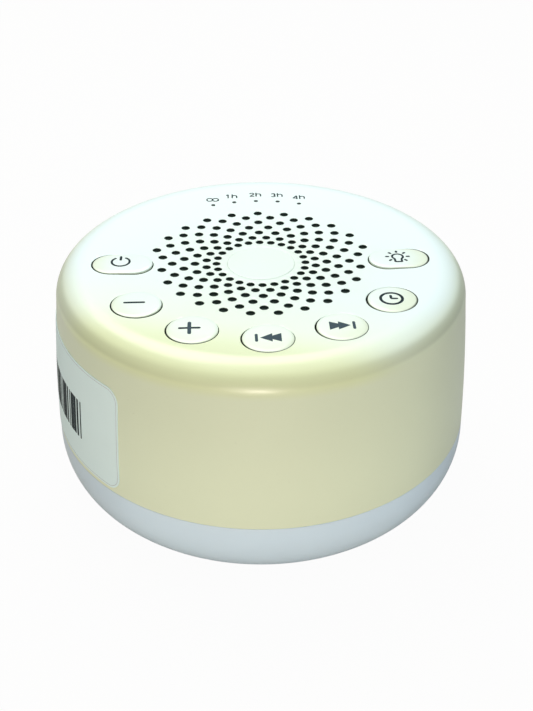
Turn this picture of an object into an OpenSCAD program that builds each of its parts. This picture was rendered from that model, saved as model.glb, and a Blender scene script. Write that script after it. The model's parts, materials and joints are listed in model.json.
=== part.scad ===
// White noise sound machine: a round desktop speaker with a perforated dished top,
// seven keys around the grille, five indicator lights and a glowing lower ring.
// Millimetres, +Z up. The origin is the centre of the circle the feet stand on.
// The front (previous and next keys) faces -Y and the power socket faces +Y.

/* [Housing] */
// Largest diameter of the body
body_d = 100; // [98:1:104]
// Height of the body without its feet
body_h = 57; // [56:0.5:60]
// How far the middle of the top lies below its rim
dish = 1; // [0.4:0.1:1.4]
// Radius at which the top turns over into the shoulder
rim_r = 41; // [40.5:0.1:42]
// Width of the rounded shoulder
shoulder_w = 6.8; // [6:0.1:7.2]
// Height of the rounded shoulder
shoulder_h = 6; // [5:0.1:7]
// How far the side wall bows outwards between shoulder and belly
wall_bulge = 0.35; // [0:0.05:0.6]
// Height of the widest circle above the lower edge
belly_h = 15; // [14:0.5:16]
// Height of the seam between the shell and the light ring
seam_h = 18; // [17.5:0.1:18.5]
// Width of the open seam line
seam_gap = 0.12; // [0.06:0.02:0.4]
// Radius of the flat underside of the light ring
base_r = 37; // [36.5:0.1:37.5]
// Wall thickness of the shell and of the light ring
wall_t = 2.2; // [1.8:0.1:2.4]
// Thickness of the perforated top
top_t = 2.3; // [2:0.1:2.5]

/* [Grille] */
// Number of holes in each full ring
ring_holes = 24; // [20:2:24]
// Radius of the innermost ring of holes
first_ring_r = 10.4; // [10.2:0.1:10.6]
// Hole diameter of the innermost ring
first_hole_d = 1.85; // [1.5:0.05:1.95]
// Hole diameter of the other rings
hole_d = 2.05; // [1.6:0.05:2.15]
// Turn of the whole grille against the row of keys
grille_turn = -0.5; // [-1:0.1:1]
// Diameter of the disc in the middle
disc_d = 15.7; // [14:0.1:16]
// How far the disc stands above the dished top
disc_proud = 0.05; // [0:0.05:0.3]

/* [Keys] */
// Diameter of a round key opening
key_d = 11.5; // [10.8:0.1:11.6]
// Radius of the arc that the round keys lie on
key_r = 34; // [33.6:0.1:34.1]
// Angle between neighbouring round keys
key_step = 27.8; // [27:0.2:29]
// Length of a pill key opening
pill_l = 14.4; // [13.6:0.1:14.6]
// Width of a pill key opening
pill_w = 9.4; // [9:0.1:10]
// Distance of the pill keys from the centre
pill_r = 32.2; // [32:0.1:32.6]
// How far the pill keys sit in front of the middle line
pill_forward = 0.5; // [0:0.1:1]
// Gap around each key
key_gap = 0.25; // [0.15:0.05:0.35]
// How far the keys stand above the top
key_proud = 0.42; // [0.3:0.02:0.8]
// Rounding of a key's upper edge
key_edge = 0.9; // [0.5:0.1:1.2]
// Travel of a key
key_travel = 0.5; // [0.3:0.1:0.6]

/* [Indicators] */
// Diameter of an indicator dot
dot_d = 1.1; // [0.8:0.1:1.4]
// Radius of the arc that the dots lie on
dot_r = 32; // [31.5:0.1:33]
// Angle between neighbouring dots
dot_step = 10; // [8:0.5:11]

/* [Speaker] */
// Outer diameter of the speaker
speaker_d = 52; // [50:0.5:52]
// Depth from the speaker's rim to its lowest point
speaker_depth = 20.9; // [20:0.1:21.2]
// Diameter of the voice coil
coil_d = 19; // [18:0.5:19.5]
// Diameter of the magnet
magnet_d = 33; // [30:1:34]

/* [Light and base] */
// Number of night light LEDs
night_led_count = 12; // [6:1:16]
// Diameter of a rubber foot
foot_d = 10; // [8:0.5:11]
// How far the feet stand below the base
foot_proud = 0.5; // [0.4:0.1:1]
// Distance of the feet and their screws from the centre
foot_r = 27; // [26:0.5:27]

/* [Hidden] */

shell_color = [0.93, 0.95, 0.91];
ring_color = [0.80, 0.84, 0.86];
board_color = [0.16, 0.42, 0.26];
steel_color = [0.72, 0.73, 0.75];
dark_color = [0.12, 0.12, 0.13];

body_r = body_d / 2;
base_z = foot_proud;
rim_z = base_z + body_h;
belly_z = base_z + belly_h;
seam_z = base_z + seam_h;
shoulder_r = rim_r + shoulder_w;
shoulder_z = rim_z - shoulder_h;
under_top_z = rim_z - dish - top_t;
// The underside of the top is flat out to the first radius and follows the dish from the second.
under_flat_r = 28.2;
under_mid_r = 34;
// Parts of one node overlap by this much where they join.
join = 0.4;
disc_seat = 0.8;
disc_fit = 0.1;

// Gaps between the rings of holes, from the inside out, and the arc of the last ring.
ring_gaps = [2.4, 2.6, 2.7, 2.6, 2.5, 2.2];
last_ring = len(ring_gaps);
last_ring_start = 15;
last_ring_end = 165;
hole_step = 360 / ring_holes;

// Keys: angles of the round ones, from the left front to the right front.
round_key_angles = [for (k = [-2:2]) 270 + k * key_step];
pill_angles = [180, 0];
cap_d = key_d - 2 * key_gap;
cap_l = pill_l - 2 * key_gap;
cap_w = pill_w - 2 * key_gap;
key_top_z = dish_z(key_r) + key_proud;
key_wall = 1.3;
cap_t = 1.8;
lip_w = 0.8;
lip_t = 0.9;
lip_z = under_top_z - lip_t - 0.15;
stem_d = 4.4;
stem_z = lip_z - 0.9;
crown = 0.12;

// Key switches and the board that carries them.
switch_w = 6;
switch_h = 3.5;
plunger_d = 3.4;
plunger_fit = 0.05;
plunger_up = stem_z;
board_t = 1.6;
key_board_z = stem_z - 1.3 - switch_h - board_t;
key_board_top = key_board_z + board_t;
key_board_r = 43;
key_board_bore = 28.2;

// Inner frame, its bosses in the shell and its screws.
frame_t = 2;
frame_z = key_board_z - frame_t;
frame_r = 43.6;
frame_window_r = 34;
frame_boss_r = 40.8;
frame_boss_d = 5.6;
frame_boss_angles = [45, 135, 228, 312];
well_r = 26.3;
well_t = 1.5;
well_top = lip_z - key_travel - 0.4;
small_screw_d = 2.2;
board_screw_d = 2;
// Pilot holes are wider than the plain shanks by this much.
bite = 0.06;
small_head_d = 4.2;
small_head_h = 1.5;

// Speaker levels, from its rim down.
speaker_r = speaker_d / 2;
sheet_t = 0.8;
gasket_t = 0.8;
speaker_z = key_board_z + gasket_t;
speaker_top = speaker_z + sheet_t;
yoke_t = 2;
magnet_t = 4;
plate_t = 2.5;
speaker_low = speaker_top - speaker_depth;
magnet_z = speaker_low + yoke_t;
plate_z = magnet_z + magnet_t;
basket_z = plate_z + plate_t;
ledge_r = 22.4;
basket_top_r = ledge_r - 0.2;
basket_low_r = magnet_d / 2 - 0.7;
cone_r = 18.4;
cone_t = 0.5;
cone_low = basket_z + 5.4;
coil_r = coil_d / 2;
speaker_screw_r = 24.3;

// Reflector tray, main board and their fasteners.
tray_z = seam_z + 1;
tray_t = 2;
tray_r = 46;
tray_boss_r = 42.6;
tray_boss_d = 7;
tray_boss_h = 12;
tray_boss_angles = [25, 155, 205, 335];
screw_d = 3;
screw_head_d = 5.6;
screw_head_h = 1.6;
main_board_z = tray_z + tray_t + 1.5;
main_board_top = main_board_z + board_t;
main_board_w = 36;
main_board_front = -22;
main_board_r = 45.5;
post_x = 14;
post_y = [-18, 36];
foot_angles = [30, 150, 210, 330];
led_lead_hole = [28.7, 4];

// Power socket in the back wall.
socket_w = 8.94;
socket_h = 3.2;
socket_l = 7.4;
socket_y = wall_r(main_board_top + socket_h / 2) - 0.9;
socket_z = main_board_top + socket_h / 2;

// Light ring and base plate.
lip_up = 2;
ring_lip_t = 1.1;
led_board_r = 39;
led_board_bore = 31.5;
base_plate_r = 35.8;
base_step_r = 33.3;
base_step_t = 1.2;
base_plate_t = 3;
column_d = 8;

$fn = 96;

// Height of the dished top at radius r.
function dish_z(r) = rim_z - dish * (1 - pow(r / rim_r, 2));

// Outer radius of the side wall at height z.
function wall_r(z) =
    let (t = (z - belly_z) / (shoulder_z - belly_z))
    body_r + (shoulder_r - body_r) * t + wall_bulge * sin(180 * t);

// Radius of ring k of the grille, and the total of the first k gaps.
function gap_sum(k) = k == 0 ? 0 : ring_gaps[k - 1] + gap_sum(k - 1);
function ring_r(k) = first_ring_r + gap_sum(k);

// Hole diameter in ring k: full size from the third ring on.
function ring_hole_d(k) = hole_d - (hole_d - first_hole_d) * max(0, 2 - k) / 2;

// Points of an elliptic arc round (cx, cy) from angle a to angle b.
function arc(cx, cy, rx, ry, a, b, n) = [
    for (i = [0:n])
        let (t = a + (b - a) * i / n) [cx + rx * cos(t), cy + ry * sin(t)]
];

// Radii at which the dished top is divided, clear of every ring of holes.
function dish_radii() = concat(
    [disc_d / 2 + 0.3],
    [for (k = [1:last_ring]) (ring_r(k - 1) + ring_r(k)) / 2],
    [under_flat_r, under_mid_r, rim_r]
);

function wall_points(z1, z2, inset, n) = [
    for (i = [0:n])
        let (z = z1 + (z2 - z1) * i / n) [wall_r(z) - inset, z]
];

module at(angle, radius) {
    rotate([0, 0, angle]) translate([radius, 0, 0]) children();
}

module tube(r1, r2, z1, z2) {
    rotate_extrude() polygon([[r1, z1], [r2, z1], [r2, z2], [r1, z2]]);
}

// Flat slot with round ends, long side along X.
module pill(l, w, h) {
    straight = (l - w) / 2;
    linear_extrude(h)
        polygon(concat(
            arc(straight, 0, w / 2, w / 2, -90, 90, 20),
            arc(-straight, 0, w / 2, w / 2, 90, 270, 20)
        ));
}

// Pan-head screw along +Z with its head below z = 0.
module screw(d, head_d, head_h, length) {
    rotate_extrude($fn = 32)
        polygon(concat(
            [[0, length], [0, -head_h]],
            arc(head_d / 2 - head_h * 0.6, -head_h * 0.4, head_h * 0.6, head_h * 0.6, -90, 0, 4),
            [[head_d / 2, 0], [d / 2, 0], [d / 2, length - d / 2]]
        ));
}

// ---- Shell -------------------------------------------------------------------

module shell_form() {
    rotate_extrude($fn = 144)
        polygon(concat(
            [[0, dish_z(disc_d / 2)]],
            [[disc_d / 2 - 0.3, dish_z(disc_d / 2)]],
            [for (r = dish_radii()) [r, dish_z(r)]],
            arc(rim_r, shoulder_z, shoulder_w, shoulder_h, 80, 0, 10),
            wall_points(shoulder_z - 3, seam_z + seam_gap / 2, 0, 9),
            wall_points(seam_z + seam_gap / 2, shoulder_z - 1, wall_t, 6),
            arc(rim_r, shoulder_z, shoulder_w - wall_t, shoulder_h - top_t, 0, 80, 6),
            [[rim_r, rim_z - top_t], [under_mid_r, dish_z(under_mid_r) - top_t]],
            [[under_flat_r, under_top_z]],
            [[0, under_top_z]]
        ));
}

module grille_holes() {
    for (k = [0:last_ring]) {
        shift = k % 2 == 1 ? hole_step / 2 : 0;
        for (i = [0:ring_holes - 1]) {
            angle = i * hole_step + shift;
            if (k < last_ring || (angle > last_ring_start - 1 && angle < last_ring_end + 1))
                at(angle + grille_turn, ring_r(k)) translate([0, 0, under_top_z - 1])
                    cylinder(d = ring_hole_d(k), h = top_t + 4, $fn = 24);
        }
    }
}

module key_openings() {
    for (a = round_key_angles)
        at(a, key_r) translate([0, 0, under_top_z - 1]) cylinder(d = key_d, h = 8, $fn = 64);
    for (a = pill_angles)
        pill_at(a) translate([0, 0, under_top_z - 1]) pill(pill_l, pill_w, 8);
}

// Place of a pill key, a little in front of the middle line.
module pill_at(angle) {
    translate([0, -pill_forward, 0]) at(angle, pill_r) children();
}

module dots_at() {
    for (k = [-2:2]) at(90 + k * dot_step, dot_r) children();
}

module shell_bosses() {
    for (a = frame_boss_angles)
        at(a, frame_boss_r) translate([0, 0, key_board_top])
            cylinder(d = frame_boss_d, h = dish_z(frame_boss_r) - 1 - key_board_top, $fn = 32);
    for (a = tray_boss_angles)
        at(a, tray_boss_r) translate([0, 0, tray_z + tray_t]) {
            cylinder(d = tray_boss_d, h = tray_boss_h, $fn = 32);
            translate([0, -1.2, 0]) cube([5.4, 2.4, tray_boss_h + 3]);
        }
}

module top_shell() {
    color(shell_color)
        difference() {
            union() {
                shell_form();
                shell_bosses();
            }
            grille_holes();
            key_openings();
            translate([0, 0, dish_z(disc_d / 2) - disc_seat]) cylinder(d = disc_d, h = 4);
            dots_at() translate([0, 0, under_top_z - 1]) cylinder(d = dot_d, h = 8, $fn = 24);
            for (a = frame_boss_angles)
                at(a, frame_boss_r) translate([0, 0, key_board_top - 1])
                    cylinder(d = small_screw_d + bite, h = 6, $fn = 24);
            for (a = tray_boss_angles)
                at(a, tray_boss_r) translate([0, 0, tray_z])
                    cylinder(d = screw_d + bite, h = tray_boss_h, $fn = 24);
            translate([0, socket_y + 5, socket_z]) rotate([90, 0, 0])
                pill(socket_w + 0.6, socket_h + 0.6, 8);
            translate([0, body_r + 2, socket_z]) rotate([90, 0, 0])
                pill(socket_w + 4, socket_h + 4, 3.2);
        }
}

module centre_disc() {
    z = dish_z(disc_d / 2) - disc_seat;
    top = z + disc_seat + disc_proud;
    r = disc_d / 2 - disc_fit;
    edge = 0.3;
    color(shell_color)
        rotate_extrude()
            polygon(concat(
                [[0, z], [r, z]],
                arc(r - edge, top - edge, edge, edge, 0, 90, 4),
                [[0, top]]
            ));
}

module dust_mesh() {
    mesh_t = 0.3;
    color(dark_color)
        difference() {
            tube(0, 27, under_top_z - mesh_t, under_top_z);
            for (a = pill_angles)
                pill_at(a) translate([0, 0, under_top_z - 1]) pill(pill_l + 1.6, pill_w + 1.6, 2);
        }
}

module light_pipe() {
    bar_z = lip_z - 0.6;
    color([0.85, 0.90, 0.92])
        union() {
            dots_at() translate([0, 0, bar_z])
                cylinder(d = dot_d - 0.04, h = dish_z(dot_r) - bar_z, $fn = 24);
            difference() {
                tube(dot_r - 1.6, dot_r + 1.6, bar_z, bar_z + 1.2);
                rotate([0, 0, 90 + 2 * dot_step + 4]) left_half();
                rotate([0, 0, 90 - 2 * dot_step - 4]) mirror([0, 1, 0]) left_half();
            }
        }
}

// Block on the left of the X axis; two of them leave a sector of a ring.
module left_half() {
    translate([-60, 0, 0]) cube([120, 60, 120]);
}

// ---- Keys --------------------------------------------------------------------

// Cap with a rounded upper edge, a retaining lip and a stem that reaches the switch.
module key_body() {
    r = cap_d / 2;
    under = key_top_z - cap_t;
    rotate_extrude($fn = 64)
        polygon(concat(
            [[0, stem_z], [stem_d / 2, stem_z], [stem_d / 2, under]],
            [[r - key_wall, under], [r - key_wall, lip_z], [r + lip_w, lip_z]],
            [[r + lip_w, lip_z + lip_t], [r, lip_z + lip_t]],
            arc(r - key_edge, key_top_z - crown - key_edge, key_edge, key_edge, 0, 90, 6),
            [[r * 0.5, key_top_z - crown * 0.3], [0, key_top_z]]
        ));
}

module round_key(k) {
    color(shell_color) at(round_key_angles[k], key_r)
        rotate([0, 0, -round_key_angles[k]]) key_body();
}

module pill_cap(r, z1, z2, edge, n) {
    straight = (cap_l - cap_w) / 2;
    hull() {
        for (s = [-1, 1])
            translate([s * straight, 0, 0])
                rotate_extrude($fn = 40)
                    polygon(concat([[0, z1], [r, z1]], arc(r - edge, z2 - edge, edge, edge, 0, 90, n),
                        [[0, z2]]));
    }
}

// The lip is left out at the end next to the speaker, where it would meet the well.
module pill_key(angle) {
    inside_l = cap_l - 2 * key_wall;
    inside_w = cap_w - 2 * key_wall;
    cut = 3;
    color(shell_color) pill_at(angle)
        difference() {
            union() {
                difference() {
                    pill_cap(cap_w / 2, lip_z, key_top_z, key_edge, 5);
                    translate([0, 0, lip_z - 1])
                        pill(inside_l, inside_w, key_top_z - cap_t - lip_z + 1);
                }
                difference() {
                    translate([0, 0, lip_z]) pill(cap_l + 2 * lip_w, cap_w + 2 * lip_w, lip_t);
                    translate([0, 0, lip_z - 1]) pill(inside_l, inside_w, lip_t + 2);
                }
                translate([0, 0, stem_z]) cylinder(d = stem_d, h = key_top_z - 1 - stem_z, $fn = 32);
            }
            translate([-cap_l / 2 - cut - 0.05, -cap_w, lip_z - 1])
                cube([cut, 2 * cap_w, lip_t + 2]);
        }
}

module plunger_form() {
    low = key_board_top + 1;
    rotate_extrude($fn = 32)
        polygon([
            [0, low], [plunger_d / 2 + 0.6, low], [plunger_d / 2 + 0.6, low + 0.6],
            [plunger_d / 2, low + 0.6], [plunger_d / 2, plunger_up - 0.2],
            [plunger_d / 2 - 0.2, plunger_up], [0, plunger_up]
        ]);
}

module round_plunger(k) {
    color(dark_color) at(round_key_angles[k], key_r) plunger_form();
}

module pill_plunger(angle) {
    color(dark_color) pill_at(angle) plunger_form();
}

module power_button() { pill_key(pill_angles[0]); }
module light_button() { pill_key(pill_angles[1]); }
module volume_down_button() { round_key(0); }
module volume_up_button() { round_key(1); }
module previous_button() { round_key(2); }
module next_button() { round_key(3); }
module timer_button() { round_key(4); }

module power_plunger() { pill_plunger(pill_angles[0]); }
module light_plunger() { pill_plunger(pill_angles[1]); }
module volume_down_plunger() { round_plunger(0); }
module volume_up_plunger() { round_plunger(1); }
module previous_plunger() { round_plunger(2); }
module next_plunger() { round_plunger(3); }
module timer_plunger() { round_plunger(4); }

// ---- Key board and inner frame --------------------------------------------------

module switch_housing() {
    half = switch_w / 2;
    neck_z = key_board_top + 1.9;
    difference() {
        union() {
            translate([-half, -half, key_board_top]) cube([switch_w, switch_w, switch_h]);
            for (x = [-1, 1], y = [-1, 1])
                translate([x * 2.25 - 0.35, y * (half + 0.35) - 0.35, key_board_top])
                    cube([0.7, 0.7, 1.6]);
        }
        translate([0, 0, key_board_top + 0.4])
            cylinder(d = plunger_d + 1.6, h = neck_z - key_board_top - 0.4, $fn = 32);
        translate([0, 0, neck_z - 0.5])
            cylinder(d = plunger_d + 2 * plunger_fit, h = switch_h, $fn = 32);
    }
}

module switch_housings() {
    color(steel_color) {
        for (a = round_key_angles) at(a, key_r) switch_housing();
        for (a = pill_angles) pill_at(a) switch_housing();
    }
}

module boss_notches(z, h) {
    for (a = tray_boss_angles)
        at(a, tray_boss_r) translate([0, 0, z]) cylinder(d = tray_boss_d + 1.6, h = h, $fn = 32);
}

module frame_holes(d, z, h) {
    for (a = frame_boss_angles)
        at(a, frame_boss_r) translate([0, 0, z]) cylinder(d = d, h = h, $fn = 24);
}

module key_board() {
    color(board_color)
        difference() {
            tube(key_board_bore, key_board_r, key_board_z, key_board_top);
            boss_notches(key_board_z - 1, board_t + 2);
            frame_holes(small_screw_d + 0.6, key_board_z - 1, board_t + 2);
        }
}

module indicator_leds() {
    color([0.95, 0.93, 0.80])
        dots_at() translate([-0.8, -0.6, key_board_top]) cube([1.6, 1.2, 0.9]);
}

module inner_frame() {
    color([0.86, 0.87, 0.86])
        difference() {
            union() {
                tube(ledge_r, frame_r, frame_z, key_board_z);
                tube(well_r, well_r + well_t, key_board_z - join, well_top);
                for (k = [0:3])
                    at(45 + 90 * k, speaker_screw_r) translate([0, 0, frame_z - 3])
                        cylinder(d = 4.8, h = 3 + join, $fn = 32);
            }
            for (k = [0:3])
                at(45 + 90 * k, speaker_screw_r) translate([0, 0, frame_z - 4])
                    cylinder(d = small_screw_d - 0.2 + bite, h = 8, $fn = 24);
            boss_notches(frame_z - 1, frame_t + 2);
            frame_holes(small_screw_d + 0.6, frame_z - 1, frame_t + 2);
            for (a = [60:30:300])
                at(a, frame_window_r) translate([0, 0, frame_z - 1])
                    cylinder(d = 6, h = frame_t + 2, $fn = 32);
        }
}

module frame_screws() {
    color(steel_color)
        for (a = frame_boss_angles)
            at(a, frame_boss_r) translate([0, 0, frame_z])
                screw(small_screw_d, small_head_d, small_head_h, 8.4);
}

// ---- Speaker -------------------------------------------------------------------

module speaker_basket() {
    windows = 6;
    color(dark_color)
        difference() {
            rotate_extrude()
                polygon([
                    [coil_r + 0.9, basket_z], [basket_low_r, basket_z],
                    [basket_low_r, basket_z + 1.2], [basket_top_r, speaker_z],
                    [speaker_r, speaker_z], [speaker_r, speaker_top],
                    [basket_top_r - 1, speaker_top], [basket_top_r - 1, speaker_z - 0.5],
                    [basket_low_r - 1.2, basket_z + sheet_t], [coil_r + 0.9, basket_z + sheet_t]
                ]);
            for (k = [0:windows - 1])
                at(k * 360 / windows, 12) translate([0, -4.4, basket_z + 3]) cube([12, 8.8, 5.6]);
            for (k = [0:3])
                at(45 + 90 * k, speaker_screw_r) translate([0, 0, speaker_z - 1])
                    cylinder(d = small_screw_d + 0.4, h = 3, $fn = 24);
        }
}

module speaker_gasket() {
    color([0.25, 0.25, 0.26])
        difference() {
            tube(ledge_r + 0.2, speaker_r, key_board_z, speaker_z);
            for (k = [0:3])
                at(45 + 90 * k, speaker_screw_r) translate([0, 0, key_board_z - 1])
                    cylinder(d = small_screw_d + 0.6, h = 3, $fn = 24);
        }
}

module speaker_surround() {
    mid = (cone_r + ledge_r) / 2 - 0.1;
    roll = 1.7;
    sheet = 0.4;
    color([0.18, 0.18, 0.19])
        rotate_extrude()
            polygon(concat(
                [[cone_r + 0.1, speaker_top + 0.1]],
                arc(mid, speaker_top + 0.1, roll, roll, 180, 0, 12),
                [[ledge_r, speaker_top + 0.1], [ledge_r, speaker_top + 0.1 + sheet]],
                arc(mid, speaker_top + 0.1, roll + sheet, roll + sheet, 10, 180, 12)
            ));
}

module speaker_cone() {
    high = speaker_top;
    color([0.22, 0.22, 0.23])
        rotate_extrude()
            polygon([
                [coil_r + 0.05, cone_low], [cone_r, high - cone_t], [cone_r, high],
                [cone_r - 0.4, high], [coil_r + 0.05, cone_low + 1.1 * cone_t]
            ]);
}

module dust_cap() {
    n = 8;
    sheet = 0.4;
    function dome(i) = cone_low + 0.64 + 2.8 * sqrt(1 - 0.96 * pow(i / n, 2));
    color([0.28, 0.28, 0.30])
        rotate_extrude()
            polygon(concat(
                [for (i = [0:n]) [coil_r * i / n, dome(i) - sheet]],
                [for (i = [n:-1:0]) [coil_r * i / n, dome(i)]]
            ));
}

module voice_coil() {
    color([0.72, 0.42, 0.22])
        rotate_extrude()
            polygon([
                [coil_r - 0.5, plate_z - 0.7], [coil_r + 0.25, plate_z - 0.7],
                [coil_r + 0.25, basket_z + 0.7], [coil_r, basket_z + 0.7],
                [coil_r, cone_low + 0.8], [coil_r - 0.5, cone_low + 0.8]
            ]);
}

module speaker_spider() {
    inner = coil_r + 0.35;
    outer = 16;
    z = basket_z + 3;
    waves = 3;
    n = 24;
    sheet = 0.35;
    function ripple(i) = 0.45 * sin(360 * waves * i / n);
    color([0.78, 0.66, 0.36])
        rotate_extrude()
            polygon(concat(
                [for (i = [0:n]) [inner + (outer - inner) * i / n, z + ripple(i)]],
                [for (i = [n:-1:0]) [inner + (outer - inner) * i / n, z + ripple(i) + sheet]]
            ));
}

module speaker_top_plate() {
    color(steel_color) tube(coil_r + 0.5, magnet_d / 2 - 1.5, plate_z, basket_z);
}

module speaker_magnet() {
    color([0.20, 0.20, 0.21]) tube(coil_r + 1.5, magnet_d / 2, magnet_z, plate_z);
}

module speaker_yoke() {
    pole_r = coil_r - 0.9;
    color(steel_color)
        rotate_extrude()
            polygon([
                [0, speaker_low], [magnet_d / 2 - 1.3, speaker_low],
                [magnet_d / 2 - 0.8, speaker_low + 0.5], [magnet_d / 2 - 0.8, magnet_z],
                [pole_r, magnet_z], [pole_r, basket_z + 0.4], [pole_r - 0.4, basket_z + 0.8],
                [0, basket_z + 0.8]
            ]);
}

// Solder strip on the back of a basket spoke, leaning with it.
module speaker_terminal() {
    rise = speaker_z - basket_z - 1.2;
    lean = atan((basket_top_r - basket_low_r) / rise);
    color([0.76, 0.62, 0.36])
        at(90, basket_low_r) translate([0, 0, basket_z + 1.2]) rotate([0, lean, 0])
            translate([0, -4, 4.5]) cube([1, 8, 5]);
}

module speaker_screws() {
    color(steel_color)
        for (k = [0:3])
            at(45 + 90 * k, speaker_screw_r) translate([0, 0, speaker_top])
                mirror([0, 0, 1]) screw(small_screw_d - 0.2, small_head_d - 0.6, small_head_h, 5.5);
}

// ---- Main board and light tray ----------------------------------------------------

module posts_at() {
    for (x = [-post_x, post_x], y = post_y) translate([x, y, 0]) children();
}

module main_board() {
    color(board_color)
        difference() {
            intersection() {
                translate([-main_board_w / 2, main_board_front, main_board_z])
                    cube([main_board_w, 70, board_t]);
                cylinder(r = main_board_r, h = 60);
            }
            posts_at() translate([0, 0, main_board_z - 1]) cylinder(d = 2.6, h = board_t + 2, $fn = 24);
        }
}

module board_chips() {
    color(dark_color)
        translate([0, 0, main_board_top]) {
            translate([-5, -17, 0]) cube([10, 6.2, 1.5]);
            translate([-14, -4, 0]) cube([5, 6, 1.5]);
            translate([7, -6, 0]) cube([6, 5, 1.5]);
            translate([-3, 30, 0]) cube([4, 3, 1.2]);
        }
}

module board_capacitors() {
    color([0.30, 0.33, 0.42])
        for (p = [[-11, 22], [11, 22], [-11, 30.5]])
            translate([p[0], p[1], main_board_top])
                rotate_extrude($fn = 32)
                    polygon([[0, 0], [3.1, 0], [3.1, 1], [2.9, 1.3], [3.15, 1.6], [3.15, 6.8],
                        [2.9, 7], [0, 7]]);
}

module connector(w) {
    difference() {
        translate([-w / 2, -2.2, 0]) cube([w, 4.4, 5]);
        translate([-w / 2 + 0.7, -1.5, 1]) cube([w - 1.4, 3, 5]);
    }
}

module board_connectors() {
    color([0.92, 0.90, 0.84])
        translate([0, 0, main_board_top]) {
            translate([10, 30.5, 0]) rotate([0, 0, 90]) connector(6);
            translate([0, 22.5, 0]) connector(9);
            translate([14.8, 15, 0]) rotate([0, 0, 90]) connector(6);
        }
}

module power_socket() {
    color(steel_color)
        union() {
            translate([0, socket_y, socket_z]) rotate([90, 0, 0])
                difference() {
                    pill(socket_w, socket_h, socket_l);
                    translate([0, 0, -1]) pill(socket_w - 0.6, socket_h - 0.6, socket_l);
                }
            translate([-3.3, socket_y - socket_l + 0.5, socket_z - 0.35]) cube([6.6, 5.6, 0.7]);
        }
}

module board_screws() {
    color(steel_color)
        posts_at() translate([0, 0, main_board_top])
            mirror([0, 0, 1]) screw(board_screw_d, 3.8, 1.4, 4.4);
}

module reflector_tray() {
    color([0.95, 0.96, 0.95])
        difference() {
            union() {
                cylinder_at(tray_r, tray_z, tray_z + tray_t);
                posts_at() translate([0, 0, tray_z + tray_t - join])
                    cylinder(d = 5, h = main_board_z - tray_z - tray_t + join, $fn = 32);
                for (a = foot_angles)
                    at(a, foot_r) translate([0, 0, tray_z + tray_t - join])
                        cylinder(d = 6.6, h = 5.5 + join, $fn = 32);
            }
            posts_at() translate([0, 0, tray_z + 0.4])
                cylinder(d = board_screw_d + bite, h = 6, $fn = 24);
            for (a = foot_angles)
                at(a, foot_r) translate([0, 0, tray_z - 1])
                    cylinder(d = screw_d + bite, h = 7.4, $fn = 24);
            for (a = tray_boss_angles)
                at(a, tray_boss_r) translate([0, 0, tray_z - 1])
                    cylinder(d = screw_d + 0.5, h = tray_t + 2, $fn = 24);
            translate([led_lead_hole[0], led_lead_hole[1], tray_z - 1])
                cylinder(d = 4, h = tray_t + 2, $fn = 32);
        }
}

module cylinder_at(r, z1, z2) {
    translate([0, 0, z1]) cylinder(r = r, h = z2 - z1);
}

module tray_screws() {
    color(steel_color)
        for (a = tray_boss_angles)
            at(a, tray_boss_r) translate([0, 0, tray_z])
                screw(screw_d, screw_head_d, screw_head_h, 11);
}

module led_board() {
    color([0.90, 0.92, 0.90])
        tube(led_board_bore, led_board_r, tray_z - board_t, tray_z);
}

module night_leds() {
    color([0.98, 0.94, 0.70])
        for (i = [0:night_led_count - 1])
            at((i + 0.5) * 360 / night_led_count, 36)
                translate([-1.4, -1.75, tray_z - board_t - 1]) cube([2.8, 3.5, 1]);
}

// ---- Internal leads ----------------------------------------------------------------

// Point at t on the smooth curve through b and c, between neighbours a and d.
function between(a, b, c, d, t) =
    0.5 * (2 * b + (c - a) * t + (2 * a - 5 * b + 4 * c - d) * t * t
    + (3 * b - a - 3 * c + d) * t * t * t);

function smooth_path(p, steps) = concat(
    [for (i = [0:len(p) - 2], k = [0:steps - 1])
        between(p[max(i - 1, 0)], p[i], p[i + 1], p[min(i + 2, len(p) - 1)], k / steps)],
    [p[len(p) - 1]]
);

function unit(v) = v / norm(v);

// Round lead of diameter d swept along the points p.
module lead(p, d) {
    sides = 8;
    path = smooth_path(p, 5);
    last = len(path) - 1;
    rings = [
        for (i = [0:last])
            let (
                along = unit(path[min(i + 1, last)] - path[max(i - 1, 0)]),
                across = unit(cross(along, [0.3, 1, 0.1])),
                up = cross(along, across)
            )
            for (k = [0:sides - 1])
                path[i] + d / 2 * (across * cos(360 * k / sides) + up * sin(360 * k / sides))
    ];
    polyhedron(
        points = rings,
        faces = concat(
            [[for (k = [0:sides - 1]) k]],
            [for (i = [0:last - 1], k = [0:sides - 1])
                let (n = (k + 1) % sides)
                [i * sides + k, (i + 1) * sides + k, (i + 1) * sides + n, i * sides + n]],
            [[for (k = [sides - 1:-1:0]) last * sides + k]]
        )
    );
}

lead_d = 1.1;
plug_z = main_board_top + 5;

module speaker_leads() {
    color([0.70, 0.12, 0.12])
        for (x = [-1.2, 1.2])
            lead([[x, 21.6, 41], [x, 23.6, 39.4], [x, 24.4, 35], [x, 22.8, plug_z + 2.4],
                [x, 22.5, plug_z - 3.5]], lead_d);
}

module key_board_leads() {
    pitch = 1.5;
    color([0.85, 0.85, 0.83])
        for (k = [-1:1])
            lead([[0, 34 + k * pitch, key_board_z - 0.1], [0, 34 + k * pitch, key_board_z - 4],
                [5, 33 + k * pitch, 36], [10, 30.8 + k * pitch, plug_z + 2],
                [10, 30.5 + k * pitch * 0.8, plug_z - 3.5]], lead_d);
}

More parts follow.
